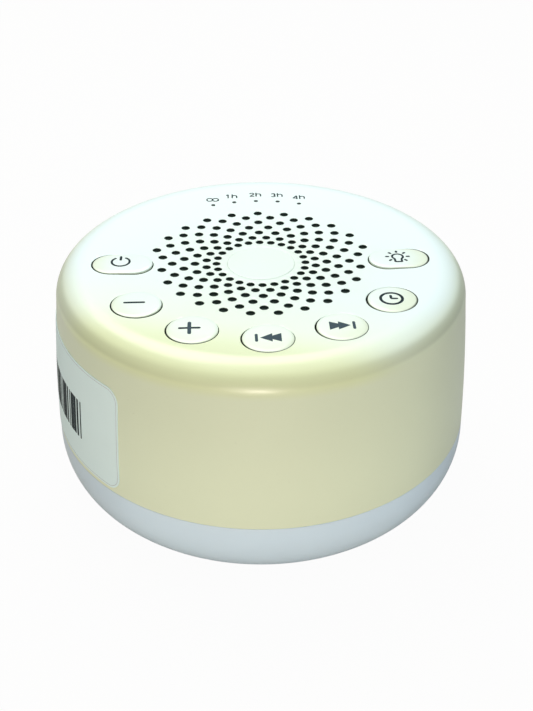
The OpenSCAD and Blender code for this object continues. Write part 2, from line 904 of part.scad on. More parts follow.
module led_leads() {
    color([0.80, 0.70, 0.20])
        for (k = [-1, 1])
            lead([[14.8, 15 + 0.8 * k, plug_z - 3.5], [15.2, 14.8 + 0.8 * k, plug_z + 2],
                [20, 10 + k, 32], [27, 5 + 0.8 * k, 28.5], [led_lead_hole[0], 4 + 0.8 * k, tray_z + 3],
                [led_lead_hole[0] + 0.3, 4 + 0.8 * k, tray_z], [30.9, 4 + 0.8 * k, tray_z - 0.9]],
                lead_d);
}

// ---- Light ring and base ------------------------------------------------------------

module light_ring() {
    inner_w = body_r - base_r - wall_t;
    inner_h = belly_h - 2;
    lip_r = wall_r(seam_z) - wall_t - 0.15;
    top = seam_z - seam_gap / 2;
    color(ring_color)
        rotate_extrude($fn = 144)
            polygon(concat(
                [[base_plate_r + 0.2, base_z]],
                arc(base_r, belly_z, body_r - base_r, belly_h, 270, 360, 16),
                [[wall_r(top), top], [lip_r, top], [lip_r, top + lip_up]],
                [[lip_r - ring_lip_t, top + lip_up], [lip_r - ring_lip_t, belly_z + 1.2]],
                arc(base_r, belly_z, inner_w, inner_h, 0, -90, 12),
                [[base_step_r + 0.2, base_z + 2], [base_step_r + 0.2, base_z + base_step_t + 0.05]],
                [[base_plate_r + 0.2, base_z + base_step_t + 0.05]]
            ));
}

module base_plate() {
    recess = 1;
    color([0.90, 0.92, 0.92])
        difference() {
            union() {
                cylinder_at(base_plate_r, base_z, base_z + base_step_t);
                cylinder_at(base_step_r, base_z, base_z + base_plate_t);
                for (a = foot_angles)
                    at(a, foot_r) cylinder_at(column_d / 2, base_z, tray_z, $fn = 48);
            }
            for (a = foot_angles)
                at(a, foot_r) {
                    translate([0, 0, base_z - 1]) cylinder(d = foot_d + 0.2, h = 1 + recess, $fn = 48);
                    cylinder(d = screw_head_d + 0.4, h = base_z + 10, $fn = 32);
                    cylinder(d = screw_d + 0.4, h = 40, $fn = 24);
                }
        }
}

module base_screws() {
    color(steel_color)
        for (a = foot_angles)
            at(a, foot_r) translate([0, 0, base_z + 10])
                screw(screw_d, screw_head_d, screw_head_h, tray_z + 5 - base_z - 10);
}

module rubber_feet() {
    color([0.30, 0.31, 0.32])
        for (a = foot_angles)
            at(a, foot_r)
                rotate_extrude($fn = 48)
                    polygon([
                        [0, 0], [foot_d / 2 - 0.5, 0], [foot_d / 2, 0.4],
                        [foot_d / 2, base_z + 1], [0, base_z + 1]
                    ]);
}

top_shell();
centre_disc();
dust_mesh();
light_pipe();
power_button();
volume_down_button();
volume_up_button();
previous_button();
next_button();
timer_button();
light_button();
power_plunger();
volume_down_plunger();
volume_up_plunger();
previous_plunger();
next_plunger();
timer_plunger();
light_plunger();
switch_housings();
key_board();
indicator_leds();
inner_frame();
frame_screws();
speaker_basket();
speaker_gasket();
speaker_surround();
speaker_cone();
dust_cap();
voice_coil();
speaker_spider();
speaker_top_plate();
speaker_magnet();
speaker_yoke();
speaker_terminal();
speaker_screws();
main_board();
board_chips();
board_capacitors();
board_connectors();
power_socket();
board_screws();
reflector_tray();
tray_screws();
led_board();
night_leds();
speaker_leads();
key_board_leads();
led_leads();
light_ring();
base_plate();
base_screws();
rubber_feet();
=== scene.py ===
import json
import math
from contextlib import contextmanager

import bpy
from bpy.props import FloatProperty, FloatVectorProperty, IntProperty, PointerProperty
from mathutils import Matrix, Vector


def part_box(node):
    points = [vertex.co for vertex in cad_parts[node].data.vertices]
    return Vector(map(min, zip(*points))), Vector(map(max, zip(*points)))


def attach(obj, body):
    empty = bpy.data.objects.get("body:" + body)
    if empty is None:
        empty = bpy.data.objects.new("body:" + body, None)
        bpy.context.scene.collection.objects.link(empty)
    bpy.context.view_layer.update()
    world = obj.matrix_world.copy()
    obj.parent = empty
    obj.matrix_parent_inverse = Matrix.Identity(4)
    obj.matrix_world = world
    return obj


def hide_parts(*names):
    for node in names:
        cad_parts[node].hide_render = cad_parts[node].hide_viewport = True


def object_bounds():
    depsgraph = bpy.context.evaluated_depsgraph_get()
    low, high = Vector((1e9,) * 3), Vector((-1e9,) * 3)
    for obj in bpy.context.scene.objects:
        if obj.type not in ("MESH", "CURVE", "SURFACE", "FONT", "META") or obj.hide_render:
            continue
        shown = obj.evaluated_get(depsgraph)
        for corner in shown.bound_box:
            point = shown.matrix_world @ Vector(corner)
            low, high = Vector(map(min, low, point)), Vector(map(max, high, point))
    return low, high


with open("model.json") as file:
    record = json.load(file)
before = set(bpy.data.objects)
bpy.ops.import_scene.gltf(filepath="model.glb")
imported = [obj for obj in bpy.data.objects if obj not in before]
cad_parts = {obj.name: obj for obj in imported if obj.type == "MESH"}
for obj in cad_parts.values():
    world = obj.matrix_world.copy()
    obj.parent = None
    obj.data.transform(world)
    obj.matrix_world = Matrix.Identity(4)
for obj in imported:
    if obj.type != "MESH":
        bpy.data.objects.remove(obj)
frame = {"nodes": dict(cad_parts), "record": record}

CAD_LOW, CAD_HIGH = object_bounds()

bl_info = {
    "name": "Sound machine finish",
    "version": (1, 0, 0),
    "blender": (4, 5, 0),
    "location": "View3D > Sidebar > Sound machine",
    "description": "Moulded skins, printed marks, finishes and studio for a round sound machine",
    "category": "Object",
}

MM = 0.001
MERGE = 1e-6
ROUND_KEYS = ("volume_down", "volume_up", "previous", "next", "timer")
PILL_KEYS = ("power", "light")


def tone(red, green, blue):
    """Linear colour of a screen colour given from 0 to 255."""
    def linear(value):
        value /= 255
        return value / 12.92 if value <= 0.04045 else ((value + 0.055) / 1.055) ** 2.4
    return linear(red), linear(green), linear(blue)


# ---- Sizes taken from the frame --------------------------------------------------------

SHELL_LOW, SHELL_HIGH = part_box("top_shell")
RING_LOW, RING_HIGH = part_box("light_ring")
DISC_LOW, DISC_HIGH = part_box("centre_disc")
MESH_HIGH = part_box("dust_mesh")[1]
SOCKET_LOW, SOCKET_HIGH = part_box("power_socket")
PLATE_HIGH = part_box("base_plate")[1]


# ---- Settings a user may change --------------------------------------------------------

def length(name, description, default):
    """A length setting in metres, its default given in millimetres."""
    return FloatProperty(
        name=name, description=description, default=default * MM, unit="LENGTH", precision=5
    )


def angle(name, description, degrees):
    """An angle setting, its default given in degrees."""
    return FloatProperty(
        name=name, description=description, default=math.radians(degrees), unit="ROTATION"
    )


def colour(name, description, shade):
    """A colour setting."""
    return FloatVectorProperty(
        name=name, description=description, default=shade, subtype="COLOR", min=0, max=1
    )


def power(name, description, default):
    """The power of a lamp in watts."""
    return FloatProperty(name=name, description=description, default=default, unit="POWER")


class ShellSizes(bpy.types.PropertyGroup):
    rim_radius: length("Rim radius", "Where the top turns over into the shoulder", 41)
    shoulder_width: length("Shoulder width", "Width of the rounded shoulder", 6.8)
    shoulder_height: length("Shoulder height", "Height of the rounded shoulder", 6)
    dish: length("Dish", "Depth of the middle of the top below its rim", 1)
    bulge: length("Wall bulge", "How far the side wall bows outwards", 0.35)
    belly: length("Belly height", "Widest circle above the lower edge", 15)
    wall: length("Wall", "Thickness of the wall", 2.2)
    disc_gap: length("Disc fit", "Play of the disc in its seat", 0.1)
    disc_line: length("Disc line", "Open line round the disc in the middle", 0.02)
    groove_width: length("Groove width", "Width of the shallow groove round the disc", 0.66)
    groove_depth: length("Groove depth", "Depth of that groove", 0.1)
    lip_round: length("Edge rounding", "Rounding of the shell's lower edge", 0.07)
    seam: length("Seam", "Open line between shell and light ring", 0.04)
    base_radius: length("Base radius", "Flat underside of the light ring", 37)
    steps: IntProperty(name="Steps", description="Facets round the body", default=192, min=48)


class GrilleSizes(bpy.types.PropertyGroup):
    holes: IntProperty(name="Holes", description="Holes in each full ring", default=24, min=8)
    first_ring: length("First ring", "Radius of the innermost ring of holes", 10.4)
    first_hole: length("First hole", "Hole diameter in the innermost ring", 1.85)
    hole: length("Hole", "Hole diameter from the third ring on", 2.05)
    round_edge: length("Hole edge", "Rounding of a hole's upper edge", 0.12)
    turn: angle("Turn", "Turn of the whole grille against the keys", -0.5)
    gaps: FloatVectorProperty(
        name="Ring gaps", description="Steps from each ring of holes to the next one out",
        size=6, default=[gap * MM for gap in (2.4, 2.6, 2.7, 2.6, 2.5, 2.2)], unit="LENGTH",
    )
    arc_start: angle("Arc start", "Where the last, open ring of holes starts", 15)
    arc_end: angle("Arc end", "Where the last, open ring of holes ends", 165)
    dot: length("Dot", "Diameter of a timer light", 1.1)
    dot_ring: length("Dot arc", "Radius of the arc of timer lights", 32)
    dot_step: angle("Dot step", "Angle between timer lights", 10)


class KeySizes(bpy.types.PropertyGroup):
    gap: length("Gap", "Open line around each key", 0.25)
    lip: length("Lip", "Width of the lip that holds a key in", 0.8)
    lip_height: length("Lip height", "Thickness of that lip", 0.9)
    edge: length("Edge", "Rounding of a key's upper edge", 0.2)
    bevel: length("Bevel", "Width of the slope inside that edge", 0.55)
    fall: length("Fall", "How far the slope drops", 0.13)
    crown: length("Crown", "How far a key's middle stands above its edge", 0.06)
    well_round: length("Well edge", "Rounding of the opening's edge in the shell", 0.09)
    wall: length("Key wall", "Thickness of a key's side wall", 1.3)
    cap: length("Key cap", "Thickness of a key's top", 1.8)
    stem: length("Stem", "Diameter of the stem on the switch", 4.4)
    stem_below: length("Stem end", "How far the stem reaches below the lip", 0.9)
    shade: length("Shade", "How far the shade in the gap climbs a key's side", 0.02)


class PrintSizes(bpy.types.PropertyGroup):
    ink: length("Ink", "Thickness of the printed marks", 0.02)
    lift: length("Lift", "Gap that keeps a mark above its surface", 0.012)
    layer: length("Layer", "Step between strokes that cross, so that none coincide", 0.003)
    key_stroke: length("Key strokes", "Line width of the marks on the keys", 0.58)
    timer_stroke: length("Timer strokes", "Line width of the timer marks", 0.34)


class LabelSizes(bpy.types.PropertyGroup):
    low: length("Low edge", "Height of the label's lower edge", 19.85)
    high: length("High edge", "Height of the label's upper edge", 46.45)
    corner: length("Corner", "Radius of the label's corners", 3.6)
    tilt: angle("Tilt", "How far the label is stuck on askew", -0.65)
    front: angle("Front end", "Angle of the end nearer the front", 228.7)
    back: angle("Back end", "Angle of the end nearer the back", 171)
    paper: length("Paper", "Thickness of the label", 0.12)
    curl: length("Curl", "How far the back end lifts off the wall", 0.45)


class Colours(bpy.types.PropertyGroup):
    # Top against wall is partly the shell's own two tones and partly painted light, cool from above.
    top: colour("Top", "Cool white of the dished top", tone(235, 251, 249))
    # Top front is painted warm light from the front.
    front: colour("Top front", "Warmer white of the top toward the front", tone(239, 251, 228))
    wall: colour("Wall", "Cream of the side wall", tone(226, 236, 205))
    # Front rim is a painted warm reflection on the shoulder.
    rim: colour("Front rim", "Deeper cream of the shoulder at the front", tone(228, 236, 160))
    key: colour("Keys", "White of the keys", tone(233, 247, 238))
    ring: colour("Light ring", "Milky plastic over the night light", tone(216, 236, 249))
    ink: colour("Ink", "Ink of the thin strokes", tone(26, 44, 50))
    slate: colour("Slate ink", "Ink of the solid shapes", tone(60, 80, 88))
    # Hole and hole lining are painted shade in the holes, gap is painted shade in the lines round
    # the keys.
    hole: colour("Hole edge", "Lining of the grille just below its surface", tone(62, 74, 68))
    deep: colour("Hole lining", "Lining further down, where little light comes", tone(165, 186, 176))
    gap: colour("Gap", "Shade deep in the line round each key", tone(70, 80, 64))
    label: colour("Label", "Paper of the wall label", tone(226, 247, 246))
    floor: colour("Floor", "Pale floor", tone(194, 192, 184))


class StageSettings(bpy.types.PropertyGroup):
    lens: FloatProperty(name="Lens", description="Focal length in mm", default=57.84)
    overhead: power("Overhead", "Large soft lamp above, a little behind", 3.5)
    middle: power("Middle", "Soft lamp straight above", 0.96)
    right: power("Right", "Cool soft lamp high on the right", 0.69)
    front: power("Front", "Warm lamp in front", 0.5)
    low: power("Low", "Wide warm lamp low in front", 0.31)
    glint: power("Glint", "Small low lamp in front", 0.68)
    ambient: FloatProperty(name="Ambient", description="Light of the room", default=0.24)


SETTINGS = {
    "shell": ShellSizes, "grille": GrilleSizes, "keys": KeySizes, "marks": PrintSizes,
    "label": LabelSizes, "colours": Colours, "stage": StageSettings,
}


class SoundMachineSettings(bpy.types.PropertyGroup):
    shell: PointerProperty(type=ShellSizes)
    grille: PointerProperty(type=GrilleSizes)
    keys: PointerProperty(type=KeySizes)
    marks: PointerProperty(type=PrintSizes)
    label: PointerProperty(type=LabelSizes)
    colours: PointerProperty(type=Colours)
    stage: PointerProperty(type=StageSettings)


def settings():
    """The settings of this scene."""
    return bpy.context.scene.sound_machine


# ---- Shape of the housing --------------------------------------------------------------

def dish_height(radius):
    """Height of the dished top at a radius."""
    shell = settings().shell
    return SHELL_HIGH.z - shell.dish * (1 - (radius / shell.rim_radius) ** 2)


def dish_slope(radius):
    """Lean of the dished top at a radius, as an angle."""
    shell = settings().shell
    return math.atan(2 * shell.dish * radius / shell.rim_radius ** 2)


def wall_radius(height):
    """Outer radius of the side wall at a height."""
    shell = settings().shell
    low = RING_LOW.z + shell.belly
    high = SHELL_HIGH.z - shell.shoulder_height
    share = (height - low) / (high - low)
    wide = RING_HIGH.x
    top = shell.rim_radius + shell.shoulder_width
    return wide + (top - wide) * share + shell.bulge * math.sin(math.pi * share)


def arc(centre, size, start, end, steps):
    """Points of an elliptic arc, angles in degrees."""
    points = []
    for step in range(steps + 1):
        turn = math.radians(start + (end - start) * step / steps)
        points.append((centre[0] + size[0] * math.cos(turn), centre[1] + size[1] * math.sin(turn)))
    return points


def spread(start, end, steps):
    """Evenly spaced values from start to end."""
    return [start + (end - start) * step / steps for step in range(steps + 1)]


def polar(radius, turn):
    """The point at a radius and an angle round the Z axis."""
    return Vector((radius * math.cos(turn), radius * math.sin(turn), 0))


# ---- Modelling -------------------------------------------------------------------------

def require(condition, message):
    """Stops the script if something went wrong."""
    if not condition:
        raise RuntimeError(message)


def deselect():
    """Object mode with nothing selected."""
    if bpy.context.mode != "OBJECT":
        bpy.ops.object.mode_set(mode="OBJECT")
    bpy.ops.object.select_all(action="DESELECT")


def select_only(*pieces):
    """Selects these pieces, the first of them active."""
    deselect()
    for piece in pieces:
        piece.select_set(True)
    bpy.context.view_layer.objects.active = pieces[0]


@contextmanager
def editing(piece, kind="VERT"):
    """Edit mode on one piece, left again at the end."""
    select_only(piece)
    bpy.ops.object.mode_set(mode="EDIT")
    bpy.ops.mesh.select_mode(type=kind)
    yield
    bpy.ops.object.mode_set(mode="OBJECT")


def select_where(piece, wanted):
    """Selects the points whose place passes a test, and returns to edit mode."""
    bpy.ops.mesh.select_all(action="DESELECT")
    bpy.ops.object.mode_set(mode="OBJECT")
    for vertex in piece.data.vertices:
        vertex.select = wanted(vertex.co)
    bpy.ops.object.mode_set(mode="EDIT")


def clean(piece):
    """Merges doubles and turns the faces outwards."""
    with editing(piece):
        bpy.ops.mesh.select_all(action="SELECT")
        bpy.ops.mesh.remove_doubles(threshold=MERGE)
        bpy.ops.mesh.normals_make_consistent(inside=False)


def modify(piece, kind, **values):
    """Adds a modifier, sets it and applies it."""
    select_only(piece)
    bpy.ops.object.modifier_add(type=kind)
    modifier = piece.modifiers[-1]
    for name, value in values.items():
        setattr(modifier, name, value)
    bpy.ops.object.modifier_apply(modifier=modifier.name)
    return piece


def point_up(name):
    """A piece that is a single point at the origin."""
    deselect()
    bpy.ops.mesh.primitive_circle_add(vertices=3, radius=MM)
    piece = bpy.context.object
    piece.name = name
    piece.data.name = name
    with editing(piece):
        bpy.ops.mesh.select_all(action="SELECT")
        bpy.ops.mesh.merge(type="CENTER")
    return piece


def lathe(name, outline, steps, start=0.0, sweep=360.0):
    """Turns an outline of (radius, height) points round the Z axis."""
    piece = point_up(name)
    turn = Matrix.Rotation(math.radians(start), 3, "Z")
    points = [turn @ Vector((radius, 0, height)) for radius, height in outline]
    with editing(piece):
        bpy.ops.mesh.select_all(action="SELECT")
        bpy.ops.transform.translate(value=points[0])
        for here, there in zip(points, points[1:]):
            bpy.ops.mesh.extrude_region_move(TRANSFORM_OT_translate={"value": there - here})
        bpy.ops.mesh.select_all(action="SELECT")
        bpy.ops.mesh.spin(
            steps=steps, angle=math.radians(sweep), center=(0, 0, 0), axis=(0, 0, 1)
        )
    clean(piece)
    require(len(piece.data.polygons) > steps, f"{name} wasn't turned")
    return piece


def stadium(name, outline, straight, steps):
    """Like lathe, but pulled apart along X by a straight part of that half length."""
    piece = lathe(name, outline, steps, start=90, sweep=180)
    with editing(piece):
        bpy.ops.mesh.select_all(action="SELECT")
        bpy.ops.transform.translate(value=(straight, 0, 0))
        select_where(piece, lambda place: abs(place.x - straight) < MERGE)
        bpy.ops.mesh.extrude_region_move(TRANSFORM_OT_translate={"value": (-straight, 0, 0)})
    modify(piece, "MIRROR", use_axis=(True, False, False), merge_threshold=MERGE)
    with editing(piece):
        select_where(piece, lambda place: abs(place.x) < MERGE)
        bpy.ops.mesh.select_mode(type="FACE")
        bpy.ops.mesh.delete(type="ONLY_FACE")
    clean(piece)
    return piece


def placed(piece, matrix):
    """Puts a finished mesh in its place, which stays in the mesh."""
    piece.data.transform(matrix)
    piece.data.update()
    return piece


def copied(piece, name, matrix=None):
    """A copy with its own mesh."""
    select_only(piece)
    bpy.ops.object.duplicate(linked=False)
    double = bpy.context.object
    double.name = name
    double.data.name = name
    return placed(double, matrix) if matrix else double


def joined(name, pieces):
    """Joins pieces into one with that name."""
    select_only(*pieces)
    if len(pieces) > 1:
        bpy.ops.object.join()
    whole = bpy.context.object
    whole.name = name
    whole.data.name = name
    return whole


def cut(piece, cutter):
    """Cuts one mesh out of another; the cut takes the cutter's material."""
    before = len(piece.data.polygons)
    modify(
        piece, "BOOLEAN", object=cutter, operation="DIFFERENCE", solver="EXACT",
        material_mode="TRANSFER",
    )
    require(len(piece.data.polygons) != before, f"{cutter.name} cut nothing out of {piece.name}")
    bpy.data.objects.remove(cutter)


def soften(piece, limit=35):
    """Smooth shading that keeps the real edges."""
    select_only(piece)
    bpy.ops.object.shade_smooth_by_angle(angle=math.radians(limit))
    modify(piece, "WEIGHTED_NORMAL", keep_sharp=True, weight=50)


def finish_piece(piece, body, material=None, replaces=()):
    """Gives a piece its body, slot and material."""
    if material:
        piece.data.materials.clear()
        piece.data.materials.append(material)
    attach(piece, body)
    if replaces:
        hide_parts(*replaces)
    return piece


# ---- Materials -------------------------------------------------------------------------

class Signal:
    """A number socket that takes part in sums; each operator adds a Math node."""

    def __init__(self, finish, socket):
        self.finish = finish
        self.socket = socket

    def math(self, operation, first, second=None):
        inputs = [first] if second is None else [first, second]
        return self.finish.node("ShaderNodeMath", {"operation": operation}, inputs)

    def __add__(self, other):
        return self.math("ADD", self, other)

    __radd__ = __add__

    def __sub__(self, other):
        return self.math("SUBTRACT", self, other)

    def __rsub__(self, other):
        return self.math("SUBTRACT", other, self)

    def __mul__(self, other):
        return self.math("MULTIPLY", self, other)

    __rmul__ = __mul__

    def sine(self):
        return self.math("SINE", self)

    def size(self):
        return self.math("ABSOLUTE", self)


class Graph:
    """Adds nodes to a node tree."""

    def __init__(self, tree):
        self.tree = tree

    def node(self, kind, values, sockets, output=0):
        """Adds a node: its settings first, then its sockets as values or links."""
        made = self.tree.nodes.new(kind)
        for name, value in values.items():
            setattr(made, name, value)
        items = sockets.items() if isinstance(sockets, dict) else enumerate(sockets)
        for key, value in items:
            self.connect(value, made.inputs[key])
        return Signal(self, made.outputs[output]) if made.outputs else None

    def connect(self, value, socket):
        if isinstance(value, Signal):
            self.tree.links.new(value.socket, socket)
        elif hasattr(socket.default_value, "__len__") and len(value) < len(socket.default_value):
            socket.default_value = (*value, 1)
        else:
            socket.default_value = value


class Finish(Graph):
    """Builds one material around a Principled shader."""

    def __init__(self, name, **constants):
        self.material = bpy.data.materials.new(name)
        self.material.use_nodes = True
        super().__init__(self.material.node_tree)
        self.shader = self.tree.nodes["Principled BSDF"]
        self.surface = self.tree.nodes["Material Output"].inputs["Surface"]
        for socket, value in constants.items():
            self.shader.inputs[socket.replace("_", " ")].default_value = value
        self.place = None

    def feed(self, **signals):
        """Links signals to the shader's own sockets, named with underscores for spaces."""
        for name, value in signals.items():
            self.connect(value, self.shader.inputs[name.replace("_", " ")])
        return self

    def object_place(self):
        """The point of the piece, in metres."""
        if self.place is None:
            self.place = self.node("ShaderNodeTexCoord", {}, {}, "Object")
        return self.place

    def axes(self):
        """The three coordinates of the point."""
        split = self.node("ShaderNodeSeparateXYZ", {}, [self.object_place()], "X")
        outputs = split.socket.node.outputs
        return [Signal(self, outputs[name]) for name in "XYZ"]

    def stretched(self, *scale):
        """The point with each axis scaled, for grain that runs one way."""
        return self.node(
            "ShaderNodeMapping", {}, {"Vector": self.object_place(), "Scale": scale}
        )

    def noise(self, grain, detail=2.0, roughness=0.5, place=None):
        """Cloudy values from 0 to 1 whose patches are about grain metres across."""
        return self.node(
            "ShaderNodeTexNoise", {},
            {"Vector": place or self.object_place(), "Scale": 1 / grain,
             "Detail": detail, "Roughness": roughness},
        )

    def ramp(self, value, low, high, start=0.0, end=1.0):
        """A smooth step of value from low to high."""
        return self.node(
            "ShaderNodeMapRange", {"interpolation_type": "SMOOTHSTEP"},
            {"Value": value, "From Min": low, "From Max": high, "To Min": start, "To Max": end},
        )

    def mix(self, share, first, second):
        """A colour between two others."""
        return self.node("ShaderNodeMix", {"data_type": "RGBA"}, {0: share, 6: first, 7: second}, 2)

    def shaded(self, first, share):
        """A colour made darker by a share that varies."""
        return self.mix(share, first, (0.0, 0.0, 0.0))

    def bump(self, height, depth, strength=1.0):
        """Feeds a relief of that depth in metres to the shader."""
        self.feed(Normal=self.node(
            "ShaderNodeBump", {}, {"Strength": strength, "Distance": depth, "Height": height}
        ))
        return self


def moulded(name, shade, roughness=0.4, grain=0.35, depth=0.004, mottle=0.03):
    """Moulded plastic: fine spark texture, faint mottling and uneven sheen."""
    finish = Finish(name)
    texture = finish.noise(grain * MM, 3.0)
    cloud = finish.noise(9 * MM, 3.0)
    finish.feed(
        Base_Color=finish.shaded(shade, cloud * mottle),
        Roughness=roughness + (cloud - 0.5) * 0.12,
    )
    finish.bump(texture, depth * MM)
    return finish.material


# Where the painted warm light on the front of the top begins, and where it is full.
PAINTED_WARMTH_BEGINS, PAINTED_WARMTH_FULL = -8 * MM, -38 * MM


def turned_away(finish, across, height):
    """Shade of the shoulder, of the upper wall and of the right side."""
    high = SHELL_HIGH.z
    band = finish.ramp(height, high - 1.3 * MM, high - 2.5 * MM)
    band = band * finish.ramp(height, high - 4.6 * MM, high - 3.6 * MM)
    band = band * finish.ramp(across.size(), 15 * MM, 40 * MM, 0.08, 0.18)
    upper = finish.ramp(height, 22 * MM, 52 * MM) * 0.09
    upper = upper * finish.ramp(height, high, high - 5 * MM)
    right = finish.ramp(across, 30 * MM, 46 * MM) * 0.11
    right = right * finish.ramp(height, high - 1 * MM, high - 5 * MM)
    return band + upper + right


def shell_finish():
    """Satin lacquer, cool white on the dished top and cream on the wall, partly own tones and partly
    painted light; painted warm light and a painted warm reflection toward the front, and painted
    shade.
    """
    colours = settings().colours
    finish = Finish("shell_lacquer", Coat_Weight=0.25, Coat_Roughness=0.22)
    across, along, height = finish.axes()
    high = SHELL_HIGH.z
    cloud = finish.noise(14 * MM, 3.0)
    speck = finish.noise(0.55 * MM, 2.0)
    toward = along + across * 0.3
    # Share of the top colour, less down the shoulder and toward the front: partly the shell's own
    # two tones, partly painted light.
    top_share = finish.ramp(height + (cloud - 0.5) * 0.8 * MM, high - 3 * MM, high + 0.6 * MM)
    top_share = top_share * finish.ramp(toward, -44 * MM, -34 * MM, 0.05, 1)
    # Painted warm light toward the front of the top.
    painted_warm_light = finish.ramp(toward, PAINTED_WARMTH_BEGINS, PAINTED_WARMTH_FULL)
    face = finish.mix(painted_warm_light, tuple(colours.top), tuple(colours.front))
    body = finish.mix(top_share, tuple(colours.wall), face)
    # Painted warm reflection on the front rim.
    rim = finish.ramp(toward, -28 * MM, -40 * MM)
    rim = rim * finish.ramp(height, high - 7 * MM, high - 4 * MM)
    body = finish.mix(rim * 0.4, body, tuple(colours.rim))
    mottle = cloud * 0.03 + finish.ramp(speck, 0.66, 0.8) * 0.05
    # turned_away is painted shade on the shoulder, upper wall and right side.
    finish.feed(
        Base_Color=finish.shaded(body, mottle + turned_away(finish, across, height)),
        Roughness=0.36 + (cloud - 0.5) * 0.1 + (speck - 0.5) * 0.06,
    )
    finish.bump(finish.noise(0.3 * MM, 2.0), 0.003 * MM)
    return finish.material


def ring_finish():
    """Milky light guide with soft depth, and painted shade toward its left and right sides."""
    finish = Finish(
        "ring_milk", Subsurface_Weight=0.25, Subsurface_Radius=(1.0, 1.0, 1.0),
        Subsurface_Scale=2 * MM, Coat_Weight=0.2, Coat_Roughness=0.3,
    )
    cloud = finish.noise(11 * MM, 3.0)
    across, _, _ = finish.axes()
    # Painted shade toward the left and right sides.
    side = finish.ramp(across.size(), 28 * MM, 48 * MM) * 0.16
    finish.feed(
        Base_Color=finish.shaded(tuple(settings().colours.ring), cloud * 0.04 + side),
        Roughness=0.34 + (cloud - 0.5) * 0.1,
    )
    finish.bump(finish.noise(0.4 * MM, 2.0), 0.003 * MM)
    return finish.material


def ink_finish(name, shade):
    """Pad-printed ink, slightly uneven, made at first use."""
    found = bpy.data.materials.get(name)
    if found:
        return found
    finish = Finish(name, Specular_IOR_Level=0.15)
    patch = finish.noise(0.4 * MM, 3.0)
    finish.feed(
        Base_Color=finish.shaded(tuple(shade), patch * 0.25), Roughness=0.45 + patch * 0.2,
    )
    finish.bump(patch, 0.002 * MM)
    return finish.material


def above_dish(finish):
    """Height of the point above the dished top around it."""
    shell = settings().shell
    across, along, height = finish.axes()
    dish = (across * across + along * along) * (shell.dish / shell.rim_radius ** 2)
    return height - (dish + (SHELL_HIGH.z - shell.dish))


def painted_shade_finish(name, shade, deep):
    """Painted shade inside the holes or the key wells, shifting to a second shade further down, made
    at first use.
    """
    found = bpy.data.materials.get(name)
    if found:
        return found
    finish = Finish(name, Specular_IOR_Level=0.2)
    dust = finish.noise(0.5 * MM, 2.0)
    down = finish.ramp(above_dish(finish), -0.4 * MM, -1.4 * MM)
    finish.feed(
        Base_Color=finish.shaded(finish.mix(down, tuple(shade), tuple(deep)), dust * 0.3),
        Roughness=0.7 + dust * 0.2,
    )
    return finish.material


def hole_painted_shade():
    """Painted shade in the grille's holes."""
    colours = settings().colours
    return painted_shade_finish("grille_lining", colours.hole, colours.deep)


def well_lining():
    """Painted shade in the openings of the keys."""
    colours = settings().colours
    return painted_shade_finish("well_lining", colours.gap, colours.gap)


def key_finish():
    """Satin key plastic, with painted warm light toward the front, painted shade on its lower edge
    and painted shade below the level of the top around it.
    """
    colours = settings().colours
    finish = Finish("key_plastic", Coat_Weight=0.2, Coat_Roughness=0.2)
    proud = above_dish(finish)
    shade = settings().keys.shade
    cloud = finish.noise(9 * MM, 3.0)
    _, along, _ = finish.axes()
    # Painted warm light toward the front.
    front = finish.ramp(along, PAINTED_WARMTH_BEGINS, PAINTED_WARMTH_FULL, 0, 0.7)
    body = finish.mix(front, tuple(colours.key), tuple(colours.front))
    # Painted shade where a key's edge lies low against the top around it.
    edge = finish.ramp(proud, 0.42 * MM, 0.1 * MM, 0, 0.7)
    body = finish.mix(edge, body, tuple(colours.wall))
    body = finish.shaded(body, cloud * 0.03)
    # Below the level of the top around it, painted shade in the gap colour.
    finish.feed(
        Base_Color=finish.mix(finish.ramp(proud, shade, -0.1 * MM), body, tuple(colours.gap)),
        Roughness=0.34 + (cloud - 0.5) * 0.12,
    )
    finish.bump(finish.noise(0.3 * MM, 3.0), 0.003 * MM)
    return finish.material


def paper_finish(name, shade):
    """Coated paper with fine fibres."""
    finish = Finish(name)
    fibre = finish.noise(0.25 * MM, 4.0, 0.6, finish.stretched(1, 1, 0.4))
    cloud = finish.noise(7 * MM)
    finish.feed(
        Base_Color=finish.shaded(shade, fibre * 0.03 + cloud * 0.03),
        Roughness=0.42 + fibre * 0.12,
    )
    finish.bump(fibre, 0.004 * MM)
    return finish.material


def woven(name, shade, pitch, depth, roughness=0.9):
    """Plain weave of two crossing threads."""
    finish = Finish(name)
    across, along, _ = finish.axes()
    turn = math.pi / (pitch * MM)
    over = (across * turn).sine() * (along * turn).sine()
    fuzz = finish.noise(pitch * MM / 3, 3.0)
    finish.feed(
        Base_Color=finish.shaded(shade, over.size() * 0.35 + fuzz * 0.2),
        Roughness=roughness - fuzz * 0.1,
    )
    finish.bump(over + fuzz * 0.4, depth * MM)
    return finish.material


def metal(name, shade, roughness=0.3, lines=(1, 1, 0.05), depth=0.002):
    """Drawn or rolled metal with fine lines and dull patches."""
    finish = Finish(name, Metallic=1.0)
    line = finish.noise(0.15 * MM, 3.0, 0.6, finish.stretched(*lines))
    tarnish = finish.noise(3 * MM, 3.0)
    finish.feed(
        Base_Color=finish.shaded(shade, tarnish * 0.2),
        Roughness=roughness + tarnish * 0.15 + line * 0.08,
    )
    finish.bump(line, depth * MM)
    return finish.material


